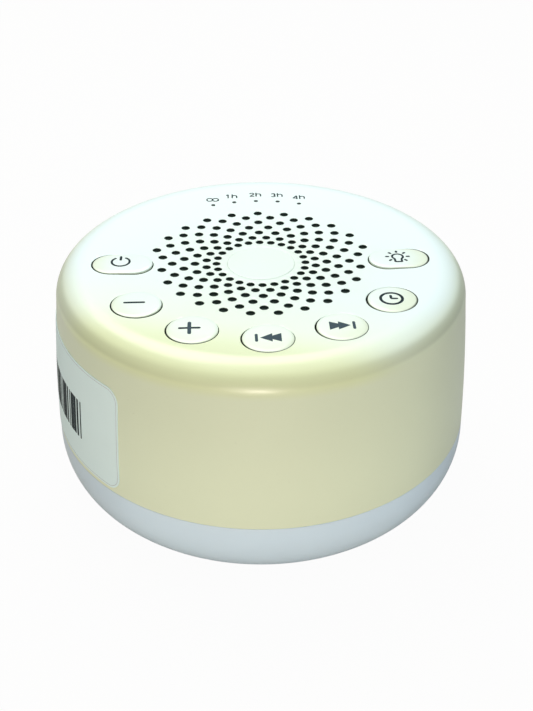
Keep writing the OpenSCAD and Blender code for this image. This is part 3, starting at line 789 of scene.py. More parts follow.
def circuit(name, mask, copper):
    """Lacquered circuit board with lighter tracks."""
    finish = Finish(name, Coat_Weight=0.3, Coat_Roughness=0.2)
    cells = finish.node(
        "ShaderNodeTexVoronoi", {"feature": "DISTANCE_TO_EDGE"},
        {"Vector": finish.object_place(), "Scale": 260.0},
    )
    track = finish.ramp(cells, 0.09, 0.05)
    glass = finish.noise(0.3 * MM, 2.0)
    finish.feed(
        Base_Color=finish.mix(track * 0.6, finish.shaded(mask, glass * 0.15), copper),
        Roughness=0.35 + glass * 0.15,
    )
    finish.bump(track, 0.02 * MM)
    return finish.material


def cone_paper():
    """Pressed paper pulp of the speaker cone."""
    finish = Finish("cone_pulp")
    pulp = finish.noise(0.6 * MM, 5.0, 0.7)
    cloud = finish.noise(5 * MM)
    finish.feed(
        Base_Color=finish.mix(pulp, tone(34, 34, 36), tone(66, 65, 64)),
        Roughness=0.85 + (cloud - 0.5) * 0.15,
    )
    finish.bump(pulp, 0.03 * MM)
    return finish.material


def ferrite():
    """Sintered magnet, dull and slightly pitted."""
    finish = Finish("magnet_ferrite")
    pit = finish.noise(0.5 * MM, 4.0, 0.7)
    finish.feed(
        Base_Color=finish.mix(pit, tone(38, 38, 42), tone(70, 70, 74)),
        Roughness=0.5 + pit * 0.25,
    )
    finish.bump(finish.ramp(pit, 0.3, 0.5), 0.02 * MM)
    return finish.material


def smoked_window():
    """Smoked tips of the timer light pipe."""
    finish = Finish("window_smoke", Specular_IOR_Level=0.3)
    haze = finish.noise(0.4 * MM, 2.0)
    finish.feed(
        Base_Color=finish.mix(haze * 0.4, tone(24, 38, 34), tone(44, 60, 54)),
        Roughness=0.35 + haze * 0.15,
    )
    return finish.material


def finishes():
    """The function that makes the material of each slot of the record."""
    return {
        "shell": shell_finish,
        "keys": key_finish,
        "dark_plastic": lambda: moulded("black_nylon", tone(38, 38, 41), 0.45),
        "mesh_cloth": lambda: woven("dust_cloth", tone(24, 26, 26), 0.35, 0.05),
        "clear_plastic": smoked_window,
        "milky_plastic": ring_finish,
        "base_plastic": lambda: moulded("base_plastic", tone(226, 231, 230), 0.42, 0.5, 0.01),
        "frame_plastic": lambda: moulded("frame_plastic", tone(214, 216, 212), 0.5, 0.5, 0.01),
        "circuit_board": lambda: circuit("board_green", tone(22, 96, 58), tone(70, 150, 96)),
        "white_board": lambda: circuit("board_white", tone(232, 235, 230), tone(206, 212, 206)),
        "leds": lambda: moulded("led_resin", tone(248, 236, 176), 0.2, 0.2, 0.002, 0.08),
        "steel": lambda: metal("plated_steel", tone(196, 198, 202)),
        "black_steel": lambda: metal("black_steel", tone(58, 58, 62), 0.45),
        "magnet": ferrite,
        "paper_cone": cone_paper,
        "spider_cloth": lambda: woven("spider_cloth", tone(196, 166, 92), 0.5, 0.06),
        "rubber": lambda: moulded("foot_rubber", tone(66, 68, 70), 0.75, 0.4, 0.02, 0.12),
        "foam": lambda: moulded("gasket_foam", tone(60, 60, 62), 0.9, 0.5, 0.08, 0.3),
        "copper": lambda: metal("coil_copper", tone(196, 116, 66), 0.25, (1, 1, 6), 0.01),
        "strip_board": lambda: woven("strip_board", tone(176, 140, 84), 0.4, 0.01, 0.6),
        "can": lambda: metal("capacitor_can", tone(132, 140, 158), 0.3),
        "connector_plastic": lambda: moulded("connector_nylon", tone(236, 230, 214), 0.45),
        "lead_skin": lambda: moulded("lead_skin", tone(150, 60, 52), 0.4, 0.5, 0.004, 0.1),
    }


def material_for(slot):
    """The finished material of a slot, built once."""
    name = f"slot_{slot}"
    found = bpy.data.materials.get(name)
    if found:
        return found
    made = finishes()[slot]()
    made.name = name
    return made


# ---- Pieces ----------------------------------------------------------------------------

# Radius of the flat that lies on the dust mesh, and radius where the roof starts beyond it.
FLAT_RADIUS, ROOF_RADIUS = 26 * MM, 28 * MM


def shell_outline():
    """Closed outline of the shell: seat, dish, shoulder, wall, lower edge and inside."""
    shell = settings().shell
    seat_r = DISC_HIGH.x + shell.disc_gap
    seat_z = DISC_LOW.z
    wide, deep = shell.groove_width / 2, shell.groove_depth
    shoulder = (shell.rim_radius, SHELL_HIGH.z - shell.shoulder_height)
    outside = (shell.shoulder_width, shell.shoulder_height)
    thick = SHELL_HIGH.z - shell.dish - MESH_HIGH.z
    inside = (shell.shoulder_width - shell.wall, shell.shoulder_height - thick)
    low = SHELL_LOW.z
    lip = shell.lip_round
    low_r = wall_radius(low)
    dish = spread(seat_r + 2 * wide, shell.rim_radius - 0.8 * MM, 22)
    wall = spread(shoulder[1] - 1 * MM, low + 2 * lip, 22)
    roof = spread(shell.rim_radius - 1 * MM, ROOF_RADIUS, 4)
    outline = [(0, seat_z), (seat_r, seat_z)]
    outline += arc((seat_r + wide, dish_height(seat_r) - deep), (wide, deep), 180, 92, 6)
    outline += [(r, dish_height(r)) for r in dish]
    outline += arc(shoulder, outside, 93, 0, 26)
    outline += [(wall_radius(z), z) for z in wall]
    outline += arc((low_r - lip, low + lip), (lip, lip), 0, -90, 4)
    outline += [(wall_radius(z) - shell.wall, z) for z in spread(low, shoulder[1], 10)]
    outline += arc(shoulder, inside, 0, 85, 8)
    outline += [(r, dish_height(r) - thick) for r in roof]
    outline += [(r, MESH_HIGH.z) for r in spread(FLAT_RADIUS, 0, 10)]
    return outline


# How far a cutter reaches below the surface.
CUT_DEPTH = 6 * MM
# Slope of a cutter's mouth above its round edge, in degrees.
MOUTH_SLOPE = 22
# The painted shade in holes and key openings starts this many edge roundings below the surface.
PAINTED_SHADE_START = 1.02
# Facets round small pieces such as a hole, round a timer light's opening, and round a key.
HOLE_STEPS, DOT_STEPS, KEY_STEPS = 24, 20, 96


def flared_outline(radius, flare):
    """Outline of a cutter in a surface at height 0; its mouth opens in a round edge."""
    mouth = arc((radius + flare, -flare), (flare, flare), 180, 90 + MOUTH_SLOPE, 4)
    over = 0.5 * flare
    wide = mouth[-1][0] + (over - mouth[-1][1]) / math.tan(math.radians(MOUTH_SLOPE))
    return [(0, -CUT_DEPTH), (radius, -CUT_DEPTH)] + mouth + [(wide, over), (0, over)]


def grille_places():
    """Place and diameter of every hole of the grille."""
    grille = settings().grille
    step = 2 * math.pi / grille.holes
    radius = grille.first_ring
    slack = math.radians(1)
    for ring, gap in enumerate([*grille.gaps, 0]):
        diameter = grille.hole - (grille.hole - grille.first_hole) * max(0, 2 - ring) / 2
        for index in range(grille.holes):
            turn = (index + ring % 2 / 2) * step
            whole = ring < len(grille.gaps)
            if whole or grille.arc_start - slack < turn < grille.arc_end + slack:
                yield radius, turn + grille.turn, diameter
        radius += gap


def on_dish(radius, turn):
    """Matrix that stands a mesh on the dished top, leaning with it."""
    return (
        Matrix.Rotation(turn, 4, "Z")
        @ Matrix.Translation((radius, 0, dish_height(radius)))
        @ Matrix.Rotation(-dish_slope(radius), 4, "Y")
    )


def two_tone(piece, upper, lower, limit):
    """Two materials on a cutter, the second below a height."""
    piece.data.materials.append(upper)
    piece.data.materials.append(lower)
    for face in piece.data.polygons:
        face.material_index = 1 if face.center.z < limit else 0


def grille_cutter():
    """All holes of the grille as one cutter, with painted shade below their rounded edge."""
    flare = settings().grille.round_edge
    masters = {}
    cutters = []
    for radius, turn, diameter in grille_places():
        if diameter not in masters:
            master = lathe("hole", flared_outline(diameter / 2, flare), HOLE_STEPS)
            # Painted shade on the hole's wall below its rounded edge.
            two_tone(master, material_for("shell"), hole_painted_shade(), -flare * PAINTED_SHADE_START)
            masters[diameter] = master
        cutters.append(copied(masters[diameter], "hole", on_dish(radius, turn)))
    for master in masters.values():
        bpy.data.objects.remove(master)
    return joined("grille_cutter", cutters)


def dot_turns():
    """Angles of the timer lights, from the always-on setting to four hours."""
    step = settings().grille.dot_step
    return [math.pi / 2 + index * step for index in range(2, -3, -1)]


def on_dots(name, master):
    """Copies a mesh to every timer light, joins them and drops the master."""
    ring = settings().grille.dot_ring
    copies = [copied(master, "dot", on_dish(ring, turn)) for turn in dot_turns()]
    bpy.data.objects.remove(master)
    return joined(name, copies)


def dots_cutter():
    """The openings of the timer lights."""
    radius = settings().grille.dot / 2
    outline = [(0, -CUT_DEPTH), (radius, -CUT_DEPTH), (radius, MM), (0, MM)]
    dot = lathe("dot", outline, DOT_STEPS)
    # The openings get painted shade inside.
    dot.data.materials.append(hole_painted_shade())
    return on_dots("dots", dot)


def key_facts(key):
    """Centre, half length, half width, levels, node and body of a key."""
    node = f"{key}_button"
    low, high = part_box(node)
    stem_low, stem_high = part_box(f"{key}_plunger")
    lip = settings().keys.lip
    centre = (stem_low + stem_high) / 2
    half_width = (high.y - low.y) / 2 - lip
    half_length = half_width
    if key in PILL_KEYS:
        half_length = max(high.x - centre.x, centre.x - low.x) - lip
    return {
        "centre": Vector((centre.x, centre.y, 0)), "half_length": half_length,
        "half_width": half_width, "top": high.z, "low": stem_high.z,
        "node": node, "body": f"{key}_key",
    }


def well_cutter(key):
    """Cutter of the opening that a key moves in."""
    facts = key_facts(key)
    keys = settings().keys
    flare = keys.well_round
    radius = facts["half_width"] + keys.gap
    outline = flared_outline(radius, flare)
    straight = facts["half_length"] - facts["half_width"]
    if straight < MERGE:
        cutter = lathe("well", outline, KEY_STEPS)
    else:
        cutter = stadium("well", outline, straight, KEY_STEPS // 2)
    # The opening's wall gets painted shade below its rounded edge.
    two_tone(cutter, material_for("shell"), well_lining(), -flare * PAINTED_SHADE_START)
    centre = facts["centre"]
    distance = centre.length
    turn = math.atan2(centre.y, centre.x)
    there, back = Matrix.Rotation(turn, 4, "Z"), Matrix.Rotation(-turn, 4, "Z")
    lean = there @ Matrix.Rotation(-dish_slope(distance), 4, "Y") @ back
    rise = Vector((0, 0, dish_height(distance)))
    return placed(cutter, Matrix.Translation(centre + rise) @ lean)


def socket_cutter():
    """Slot for the plug, stepped out to the shallow recess around it."""
    width = SOCKET_HIGH.x - SOCKET_LOW.x
    height = SOCKET_HIGH.z - SOCKET_LOW.z
    play, rim = 0.3 * MM, 2 * MM
    slot, recess = height / 2 + play, height / 2 + rim
    floor = SOCKET_HIGH.y + 0.1 * MM
    inner, outer = floor - 5 * MM, floor + 3 * MM
    outline = [
        (0, -outer), (recess, -outer), (recess, -floor), (slot, -floor), (slot, -inner), (0, -inner),
    ]
    cutter = stadium("slot", outline, (width - height) / 2, 24)
    cutter.data.materials.append(material_for("shell"))
    lying = Matrix.Rotation(math.radians(90), 4, "X")
    middle = Matrix.Translation((0, 0, (SOCKET_HIGH.z + SOCKET_LOW.z) / 2))
    return placed(cutter, middle @ lying)


class SOUND_OT_shell(bpy.types.Operator):
    """Moulds the top shell with its grille, key wells and power slot"""

    bl_idname = "sound.shell"
    bl_label = "Top shell"

    def execute(self, context):
        shell = lathe("shell_skin", shell_outline(), settings().shell.steps)
        shell.data.materials.append(material_for("shell"))
        # Painted shade for the holes and the key openings.
        shell.data.materials.append(hole_painted_shade())
        shell.data.materials.append(well_lining())
        cut(shell, grille_cutter())
        for key in ROUND_KEYS + PILL_KEYS:
            cut(shell, well_cutter(key))
        cut(shell, dots_cutter())
        cut(shell, socket_cutter())
        soften(shell)
        finish_piece(shell, "root", replaces=["top_shell"])
        return {"FINISHED"}


class SOUND_OT_disc(bpy.types.Operator):
    """Turns the bare disc in the middle of the grille"""

    bl_idname = "sound.disc"
    bl_label = "Centre disc"

    def execute(self, context):
        shell = settings().shell
        radius = DISC_HIGH.x + shell.disc_gap - shell.disc_line
        low, high = DISC_LOW.z, DISC_HIGH.z
        wide, deep = shell.groove_width / 2, shell.groove_depth
        outline = [(0, low), (radius, low)]
        outline += arc((radius - wide, high - deep), (wide, deep), 0, 88, 6)
        outline += [(radius * share, high) for share in (0.7, 0.35, 0)]
        disc = lathe("centre_disc_skin", outline, KEY_STEPS)
        soften(disc, 50)
        finish_piece(disc, "root", material_for("shell"), ["centre_disc"])
        return {"FINISHED"}


def key_outline(facts):
    """Outline of a key: stem, hollow underside, lip, side and rounded top."""
    keys = settings().keys
    half = facts["half_width"]
    low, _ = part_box(facts["node"])
    lip_z = low.z + keys.stem_below
    top = facts["top"]
    edge, flat = keys.edge, half - keys.edge - keys.bevel
    outline = [
        (0, low.z), (keys.stem / 2, low.z), (keys.stem / 2, top - keys.cap),
        (half - keys.wall, top - keys.cap), (half - keys.wall, lip_z),
        (half + keys.lip, lip_z), (half + keys.lip, lip_z + keys.lip_height),
        (half, lip_z + keys.lip_height),
    ]
    outline += arc((half - edge, top - keys.crown - keys.fall - edge), (edge, edge), 0, 75, 6)
    outline += [(flat + keys.bevel * 0.1, top - keys.crown - keys.fall * 0.03)]
    outline += [(flat * share, top - keys.crown * share ** 2) for share in (0.97, 0.8, 0.6, 0.3, 0)]
    return outline


# How each key sits in its opening, in millimetres to the right, back and down.
KEY_PLAY = {
    "power": (0.02, 0, 0.03),
    "volume_down": (0, 0.07, 0),
    "volume_up": (0.08, -0.03, 0),
    "previous": (0.1, -0.12, 0.03),
    "next": (0.13, -0.16, 0.04),
    "timer": (0.15, -0.18, 0.09),
    "light": (0, -0.03, 0.06),
}


class SOUND_OT_keys(bpy.types.Operator):
    """Moulds the five round keys and the two long ones"""

    bl_idname = "sound.keys"
    bl_label = "Keys"

    def execute(self, context):
        for key in ROUND_KEYS + PILL_KEYS:
            facts = key_facts(key)
            outline = key_outline(facts)
            straight = facts["half_length"] - facts["half_width"]
            if straight < MERGE:
                skin = lathe(f"{key}_key_skin", outline, KEY_STEPS)
            else:
                skin = stadium(f"{key}_key_skin", outline, straight, KEY_STEPS // 2)
                self.round_stem(skin, facts["top"] - settings().keys.cap, straight)
                self.trim_lip(skin, facts)
            soften(skin, 50)
            self.settle(skin, facts, KEY_PLAY[key])
            finish_piece(skin, facts["body"], material_for("keys"), [facts["node"]])
        return {"FINISHED"}

    def settle(self, skin, facts, play):
        """Moves a key to its place, a little aside and its face a little lower."""
        across, back, down = play
        face_depth = 1 * MM
        for vertex in skin.data.vertices:
            if vertex.co.z > facts["top"] - face_depth:
                vertex.co.z -= down * MM
        aside = Vector((across, back, 0)) * MM
        placed(skin, Matrix.Translation(facts["centre"] + aside))

    def round_stem(self, skin, roof, straight):
        """Pushes the stem below the cap, pulled apart with the key, back to a circle."""
        radius = settings().keys.stem / 2 + MERGE
        for vertex in skin.data.vertices:
            over = max(abs(vertex.co.x) - straight, 0)
            if vertex.co.z < roof + MERGE and math.hypot(over, vertex.co.y) < radius:
                vertex.co.x = math.copysign(over, vertex.co.x)
        clean(skin)

    def trim_lip(self, skin, facts):
        """Takes off the lip at the end that faces the speaker, as the frame has it."""
        low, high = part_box(facts["node"])
        centre = facts["centre"].x
        right = high.x - centre
        left = centre - low.x
        side = 1 if right < left else -1
        reach = min(left, right)
        below = facts["low"] + 4 * MM
        for vertex in skin.data.vertices:
            if vertex.co.x * side > reach and vertex.co.z < below:
                vertex.co.x = reach * side


# ---- Printed marks ---------------------------------------------------------------------

def stroke_columns(route, half, steps, closed):
    """Share of the route and half width of each column of points of a stroke."""
    if closed:
        return [(share, half) for share in spread(0, 1, steps)]
    samples = [Vector(route(share)) for share in spread(0, 1, 200)]
    total = sum((b - a).length for a, b in zip(samples, samples[1:]))
    cap = min(half / total, 0.5)
    start = [(cap * (1 - math.cos(a)), half * math.sin(a)) for a in spread(0, math.pi / 2, 4)]
    middle = [(share, half) for share in spread(cap, 1 - cap, steps)[1:-1]]
    return start + middle + [(1 - share, reach) for share, reach in reversed(start)]


def stroke(name, route, width, steps=24, closed=False):
    """Flat line of even width along route(t), with round ends unless it is closed."""
    columns = stroke_columns(route, width / 2, steps, closed)
    deselect()
    bpy.ops.mesh.primitive_grid_add(x_subdivisions=len(columns) - 1, y_subdivisions=1, size=2)
    piece = bpy.context.object
    piece.name = name
    piece.data.name = name
    step = 1e-3
    for vertex in piece.data.vertices:
        share, reach = columns[round((vertex.co.x + 1) / 2 * (len(columns) - 1))]
        here = Vector(route(share))
        if closed:
            ahead = Vector(route((share + step) % 1)) - Vector(route((share - step) % 1))
        else:
            ahead = Vector(route(min(share + step, 1))) - Vector(route(max(share - step, 0)))
        normal = Vector((-ahead.y, ahead.x)).normalized()
        side = 1 if vertex.co.y > 0 else -1
        place = here + normal * reach * side
        vertex.co = (place.x, place.y, 0)
    clean(piece)
    return piece


# Steps of a straight stroke and of a curved one.
LINE_STEPS, CURVE_STEPS = 6, 40


def line(start, end, width, name="line"):
    """A straight stroke between two points in millimetres."""
    first, last = Vector(start) * MM, Vector(end) * MM
    return stroke(name, lambda t: first.lerp(last, t), width * MM, LINE_STEPS)


def curve(centre, radius, start, end, width, closed=False):
    """A stroke along a circle, angles in degrees and lengths in millimetres."""
    def route(t):
        turn = math.radians(start + (end - start) * t)
        return (
            (centre[0] + radius * math.cos(turn)) * MM, (centre[1] + radius * math.sin(turn)) * MM
        )
    return stroke("curve", route, width * MM, CURVE_STEPS, closed)


def filled(corners):
    """A solid shape with slightly rounded corners, its corners in millimetres."""
    deselect()
    bpy.ops.mesh.primitive_circle_add(vertices=len(corners), radius=MM, fill_type="NGON")
    piece = bpy.context.object
    piece.name = "solid"
    for vertex, (x, y) in zip(piece.data.vertices, corners):
        vertex.co = (x * MM, y * MM, 0)
    with editing(piece):
        bpy.ops.mesh.select_all(action="SELECT")
        bpy.ops.mesh.bevel(offset=0.08 * MM, segments=2, affect="VERTICES")
        bpy.ops.mesh.select_all(action="SELECT")
        bpy.ops.mesh.quads_convert_to_tris()
        bpy.ops.mesh.subdivide(number_cuts=2)
    clean(piece)
    return piece


def route_through(points):
    """A route(t) through points in millimetres at an even pace, straight between them."""
    places = [Vector(point) * MM for point in points]
    lengths = [0]
    for here, there in zip(places, places[1:]):
        lengths.append(lengths[-1] + (there - here).length)

    def route(t):
        along = t * lengths[-1]
        for index in range(1, len(lengths)):
            if along <= lengths[index] or index == len(lengths) - 1:
                part = (along - lengths[index - 1]) / (lengths[index] - lengths[index - 1])
                return places[index - 1].lerp(places[index], part)
        return places[-1]
    return route


def power_mark(width):
    """An open circle with an upright stroke."""
    return [curve((0, 0), 2.07, 120, 425, width * 0.9), line((-0.03, 2.72), (-0.03, 0.6), width)]


def minus_mark(width):
    """A level bar."""
    return [line((-2.4, 0), (2.4, 0), width * 1.15)]


def plus_mark(width):
    """The minus sign with an upright bar across it."""
    return minus_mark(width) + [line((0, -2.45), (0, 2.45), width * 1.4, "solid")]


def skip_mark(width, way):
    """Two overlapping arrows and a bar, way +1 to the right and -1 to the left."""
    upper = [(-0.72, 1.6), (-0.72, 0.68), (-2.64, 1.64)]
    corners = [(1.88, 0)] + upper + [(x, -y) for x, y in reversed(upper)]
    return [
        line((2.63 * way, -1.52), (2.63 * way, 1.52), width * 1.1, "solid"),
        filled([(x * way, y) for x, y in corners]),
    ]


def clock_mark(width):
    """A round clock face with two hands."""
    hands = route_through([(-0.08, 1.45), (-0.06, -0.05), (1.45, -0.07)])
    return [curve((0, 0), 2.41, 0, 360, width * 1.1, True), stroke("hands", hands, width * MM)]


def bulb_mark(width):
    """A lamp bulb with seven rays."""
    thin = width * 0.85
    near, far = 1.93, 2.92
    head = arc((0, 0), (1.27, 1.27), 228, -48, 28)
    right = [(0.8, -1.35), (0.76, -1.9), (0.8, -2.4)]
    outline = head + right + [(-x, y) for x, y in reversed(right)] + [head[0]]
    marks = [stroke("bulb", route_through(outline), thin * MM, 90, True)]
    for degrees in (-45, 0, 46, 90, 132, 178, 222):
        way = polar(1, math.radians(degrees))
        marks.append(line((way * near)[:2], (way * far)[:2], thin * 1.1))
    return marks


def hour_mark(hours, width):
    """A digit from 1 to 4 and a small h, drawn in single strokes."""
    digits = {
        1: [[(-1.36, 0.4), (-0.86, 0.9), (-0.86, -1.02)]],
        2: [arc((-0.9, 0.4), (0.48, 0.46), 185, -35, 10) + [(-1.4, -0.87), (-0.24, -0.87)]],
        3: [arc((-0.93, 0.44), (0.44, 0.42), 165, -75, 10)
            + arc((-0.94, -0.42), (0.48, 0.45), 75, -165, 10)],
        4: [[(-0.58, -1.02), (-0.58, 0.87), (-1.56, -0.42)], [(-1.62, -0.42), (-0.3, -0.42)]],
    }
    letter = [[(0.18, 1.02), (0.18, -1.02)],
              arc((0.76, -0.02), (0.58, 0.44), 180, 0, 12) + [(1.34, -1.02)]]
    return [
        stroke("sign", route_through(points), width * MM, CURVE_STEPS)
        for points in digits[hours] + letter
    ]


def endless_mark(width):
    """Two touching loops, for the timer's always-on setting."""
    return [curve((side * 0.73, 0), 0.75, 0, 360, width, True) for side in (-1, 1)]


def face_up(piece):
    """Turns a flat piece's faces upwards."""
    with editing(piece, "FACE"):
        bpy.ops.mesh.select_all(action="SELECT")
        bpy.ops.mesh.normals_make_consistent(inside=False)
        if piece.data.polygons[0].normal.z < 0:
            bpy.ops.mesh.flip_normals()
    bpy.context.view_layer.update()


def print_on(mark, surface, centre, layer=0):
    """Lays a flat mark on a surface and gives it the ink's thickness."""
    marks = settings().marks
    placed(mark, Matrix.Translation((centre.x, centre.y, CAD_HIGH.z + MM)))
    face_up(mark)
    modify(
        mark, "SHRINKWRAP", target=surface, wrap_method="PROJECT", use_project_z=True,
        use_negative_direction=True, use_positive_direction=False,
        offset=marks.lift + layer * marks.layer,
    )
    for vertex in mark.data.vertices:
        require(vertex.co.z < CAD_HIGH.z + 0.5 * MM, f"{mark.name} missed {surface.name}")
    modify(mark, "SOLIDIFY", thickness=marks.ink, offset=1)
    clean(mark)


# Each key's mark and the place of its middle against the key's, in millimetres.
KEY_MARKS = {
    "power": (power_mark, (-0.4, 0.55)),
    "volume_down": (minus_mark, (-0.47, 0.49)),
    "volume_up": (plus_mark, (-0.52, 0.28)),
    "previous": (lambda width: skip_mark(width, -1), (0.24, -0.24)),
    "next": (lambda width: skip_mark(width, 1), (0.01, -0.02)),
    "timer": (clock_mark, (-0.12, -0.09)),
    "light": (bulb_mark, (-0.25, 0.31)),
}
# Each timer light's hours, none for always on, and the place of its mark beyond the light.
TIMER_MARKS = {
    "always": (None, (-0.14, 2.86)),
    "one_hour": (1, (-0.65, 3.26)),
    "two_hours": (2, (-0.02, 3.48)),
    "three_hours": (3, (-0.03, 3.48)),
    "four_hours": (4, (0.23, 3.45)),
}


def printed(name, parts, surface, centre):
    """One mark from flat parts, printed round a point of a surface."""
    colours = settings().colours
    for layer, part in enumerate(parts):
        print_on(part, surface, centre, layer)
        ink = ("mark_ink", colours.ink)
        if part.name.startswith("solid"):
            ink = ("slate_ink", colours.slate)
        part.data.materials.append(ink_finish(*ink))
    return joined(name, parts)


class SOUND_OT_key_marks(bpy.types.Operator):
    """Prints the plain symbols on the keys"""

    bl_idname = "sound.key_marks"
    bl_label = "Key marks"

    def execute(self, context):
        width = settings().marks.key_stroke / MM
        for key, (draw, offset) in KEY_MARKS.items():
            facts = key_facts(key)
            centre = facts["centre"] + Vector((*offset, 0)) * MM
            skin = bpy.data.objects[f"{key}_key_skin"]
            mark = printed(f"{key}_mark", draw(width), skin, centre)
            finish_piece(mark, facts["body"])
        return {"FINISHED"}


class SOUND_OT_timer_marks(bpy.types.Operator):
    """Prints the timer settings beside their lights"""

    bl_idname = "sound.timer_marks"
    bl_label = "Timer marks"

    def execute(self, context):
        shell = bpy.data.objects["shell_skin"]
        width = settings().marks.timer_stroke / MM
        for (name, (hours, offset)), turn in zip(TIMER_MARKS.items(), dot_turns()):
            parts = hour_mark(hours, width) if hours else endless_mark(width)
            centre = polar(settings().grille.dot_ring, turn) + Vector((*offset, 0)) * MM
            mark = printed(f"timer_mark_{name}", parts, shell, centre)
            finish_piece(mark, "root")
        return {"FINISHED"}


class SOUND_OT_dots(bpy.types.Operator):
    """Domes the smoked tips of the timer light pipe"""

    bl_idname = "sound.dots"
    bl_label = "Timer lights"

    def execute(self, context):
        play, deep, sunk, dome = 0.02 * MM, 1.2 * MM, 0.06 * MM, 0.1 * MM
        radius = settings().grille.dot / 2 - play
        outline = [(0, -deep), (radius, -deep)] + arc((0, -sunk), (radius, dome), 0, 90, 6)
        lights = on_dots("timer_light_tips", lathe("timer_light", outline, HOLE_STEPS))
        soften(lights, 60)
        finish_piece(lights, "root", material_for("clear_plastic"))
        return {"FINISHED"}


# ---- Lower parts -----------------------------------------------------------------------

def ring_outline():
    """Closed outline of the milky ring, from its foot up the outside and back inside."""
    shell = settings().shell
    low = RING_LOW.z
    belly = low + shell.belly
    play = 0.15 * MM
    foot_r = PLATE_HIGH.x + 0.2 * MM
    ledge_r, ledge_z = foot_r - 2.5 * MM, low + 1.25 * MM
    base_r = shell.base_radius
    wide = RING_HIGH.x
    top = SHELL_LOW.z - shell.seam
    edge = 0.15 * MM
    lip_r = wall_radius((top + SHELL_LOW.z) / 2) - shell.wall - play
    inner_r = lip_r - 1.1 * MM
    inside = (wide - base_r - shell.wall, shell.belly - 2 * MM)
    outline = [(foot_r, low)]
    outline += arc((base_r, belly), (wide - base_r, shell.belly), 270, 360, 32)
    outline += [(wall_radius(z), z) for z in spread(belly + 0.8 * MM, top - 2 * edge, 3)]
    outline += arc((wall_radius(top) - edge, top - edge), (edge, edge), 0, 90, 4)
    outline += [(lip_r, top), (lip_r, RING_HIGH.z), (inner_r, RING_HIGH.z)]
    outline += [(inner_r, belly + 1.2 * MM)]
    outline += arc((base_r, belly), inside, 0, -90, 16)
    outline += [(ledge_r, low + 2 * MM), (ledge_r, ledge_z), (foot_r, ledge_z), (foot_r, low)]
    return outline


class SOUND_OT_ring(bpy.types.Operator):
    """Turns the milky ring that covers the night light"""

    bl_idname = "sound.ring"
    bl_label = "Light ring"

    def execute(self, context):
        ring = lathe("light_ring_skin", ring_outline(), settings().shell.steps)
        soften(ring, 40)
        finish_piece(ring, "root", material_for("milky_plastic"), ["light_ring"])
        return {"FINISHED"}


def softened_copy(node, name, width, slot):
    """A copy of a frame part, on the root body, with its edges rounded off."""
    source = frame["nodes"][node]
    piece = copied(source, name)
    piece.parent = None
    for key in [key for key in piece.keys() if key.startswith("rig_")]:
        del piece[key]
    piece.data.materials.clear()
    clean(piece)
    with editing(piece):
        bpy.ops.mesh.select_all(action="SELECT")
        bpy.ops.mesh.dissolve_limited(angle_limit=math.radians(1))
    modify(
        piece, "BEVEL", width=width, segments=2, limit_method="ANGLE",
        angle_limit=math.radians(40),
    )
    soften(piece, 40)
    return finish_piece(piece, "root", material_for(slot), [node])


class SOUND_OT_base(bpy.types.Operator):
    """Rounds the edges of the base plate and the feet"""

    bl_idname = "sound.base"
    bl_label = "Base and feet"

    def execute(self, context):
        plate_edge, foot_edge = 0.25 * MM, 0.15 * MM
        softened_copy("base_plate", "base_plate_skin", plate_edge, "base_plastic")
        softened_copy("rubber_feet", "rubber_feet_skin", foot_edge, "rubber")
        return {"FINISHED"}


# ---- Wall label ------------------------------------------------------------------------

# Gap under the label and gap under what is printed on it.
GLUE, PRINT_GAP = 0.03 * MM, 0.004 * MM
# Facets along and across the label, and steps of the die line.
SHEET_COLUMNS, SHEET_ROWS, DIE_STEPS = 72, 32, 240
# Inset, width and thickness of the die line.
DIE_INSET, DIE_WIDTH, DIE_INK = 0.5 * MM, 0.1 * MM, 0.01 * MM
# The last share of the label, toward the back, that lifts off the wall.
CURLED = 0.2
# Number of bars, their step, height, place below the middle and thickness of the ink.
BARS, BAR_STEP, BAR_HEIGHT, BAR_DROP, BAR_INK = 20, 1.45 * MM, 10 * MM, 1.2 * MM, 0.015 * MM


def on_wall(piece, lift):
    """Wraps a flat piece, X along the wall and Y up, round the side wall."""
    label = settings().label
    radius = RING_HIGH.x
    middle = (label.front + label.back) / 2
    half = (label.front - label.back) / 2
    askew = Matrix.Rotation(label.tilt, 3, "Z")
    for vertex in piece.data.vertices:
        flat = askew @ vertex.co
        turn = middle + flat.x / radius
        height = (label.low + label.high) / 2 + flat.y
        back = max(0.0, (middle - turn) / half - (1 - CURLED)) / CURLED
        reach = wall_radius(height) + lift + flat.z + label.curl * min(back, 1.2) ** 2
        vertex.co = polar(reach, turn) + Vector((0, 0, height))


def rounded_sheet(name, width, height, corner, columns, rows):
    """Flat grid with round corners, centred on the origin."""
    deselect()
    bpy.ops.mesh.primitive_grid_add(x_subdivisions=columns, y_subdivisions=rows, size=2)
    piece = bpy.context.object
    piece.name = name
    piece.data.name = name
    for vertex in piece.data.vertices:
        x, y = vertex.co.x * width / 2, vertex.co.y * height / 2
        over_x = (abs(x) - width / 2 + corner) / corner
        over_y = (abs(y) - height / 2 + corner) / corner
        if over_x > 0 and over_y > 0:
            round_x = over_x * math.sqrt(1 - over_y ** 2 / 2)
            round_y = over_y * math.sqrt(1 - over_x ** 2 / 2)
            x = math.copysign(width / 2 - corner + round_x * corner, x)
            y = math.copysign(height / 2 - corner + round_y * corner, y)
        vertex.co = (x, y, 0)
    return piece


def rounded_route(width, height, corner):
    """A closed route(t) round a rectangle with round corners, sizes in metres."""
    x, y = width / 2 - corner, height / 2 - corner
    points = []
    for centre, start in (((x, y), 0), ((-x, y), 90), ((-x, -y), 180), ((x, -y), 270)):
        points += arc(centre, (corner, corner), start, start + 90, 8)
    points.append(points[0])
    return route_through([(a / MM, b / MM) for a, b in points])


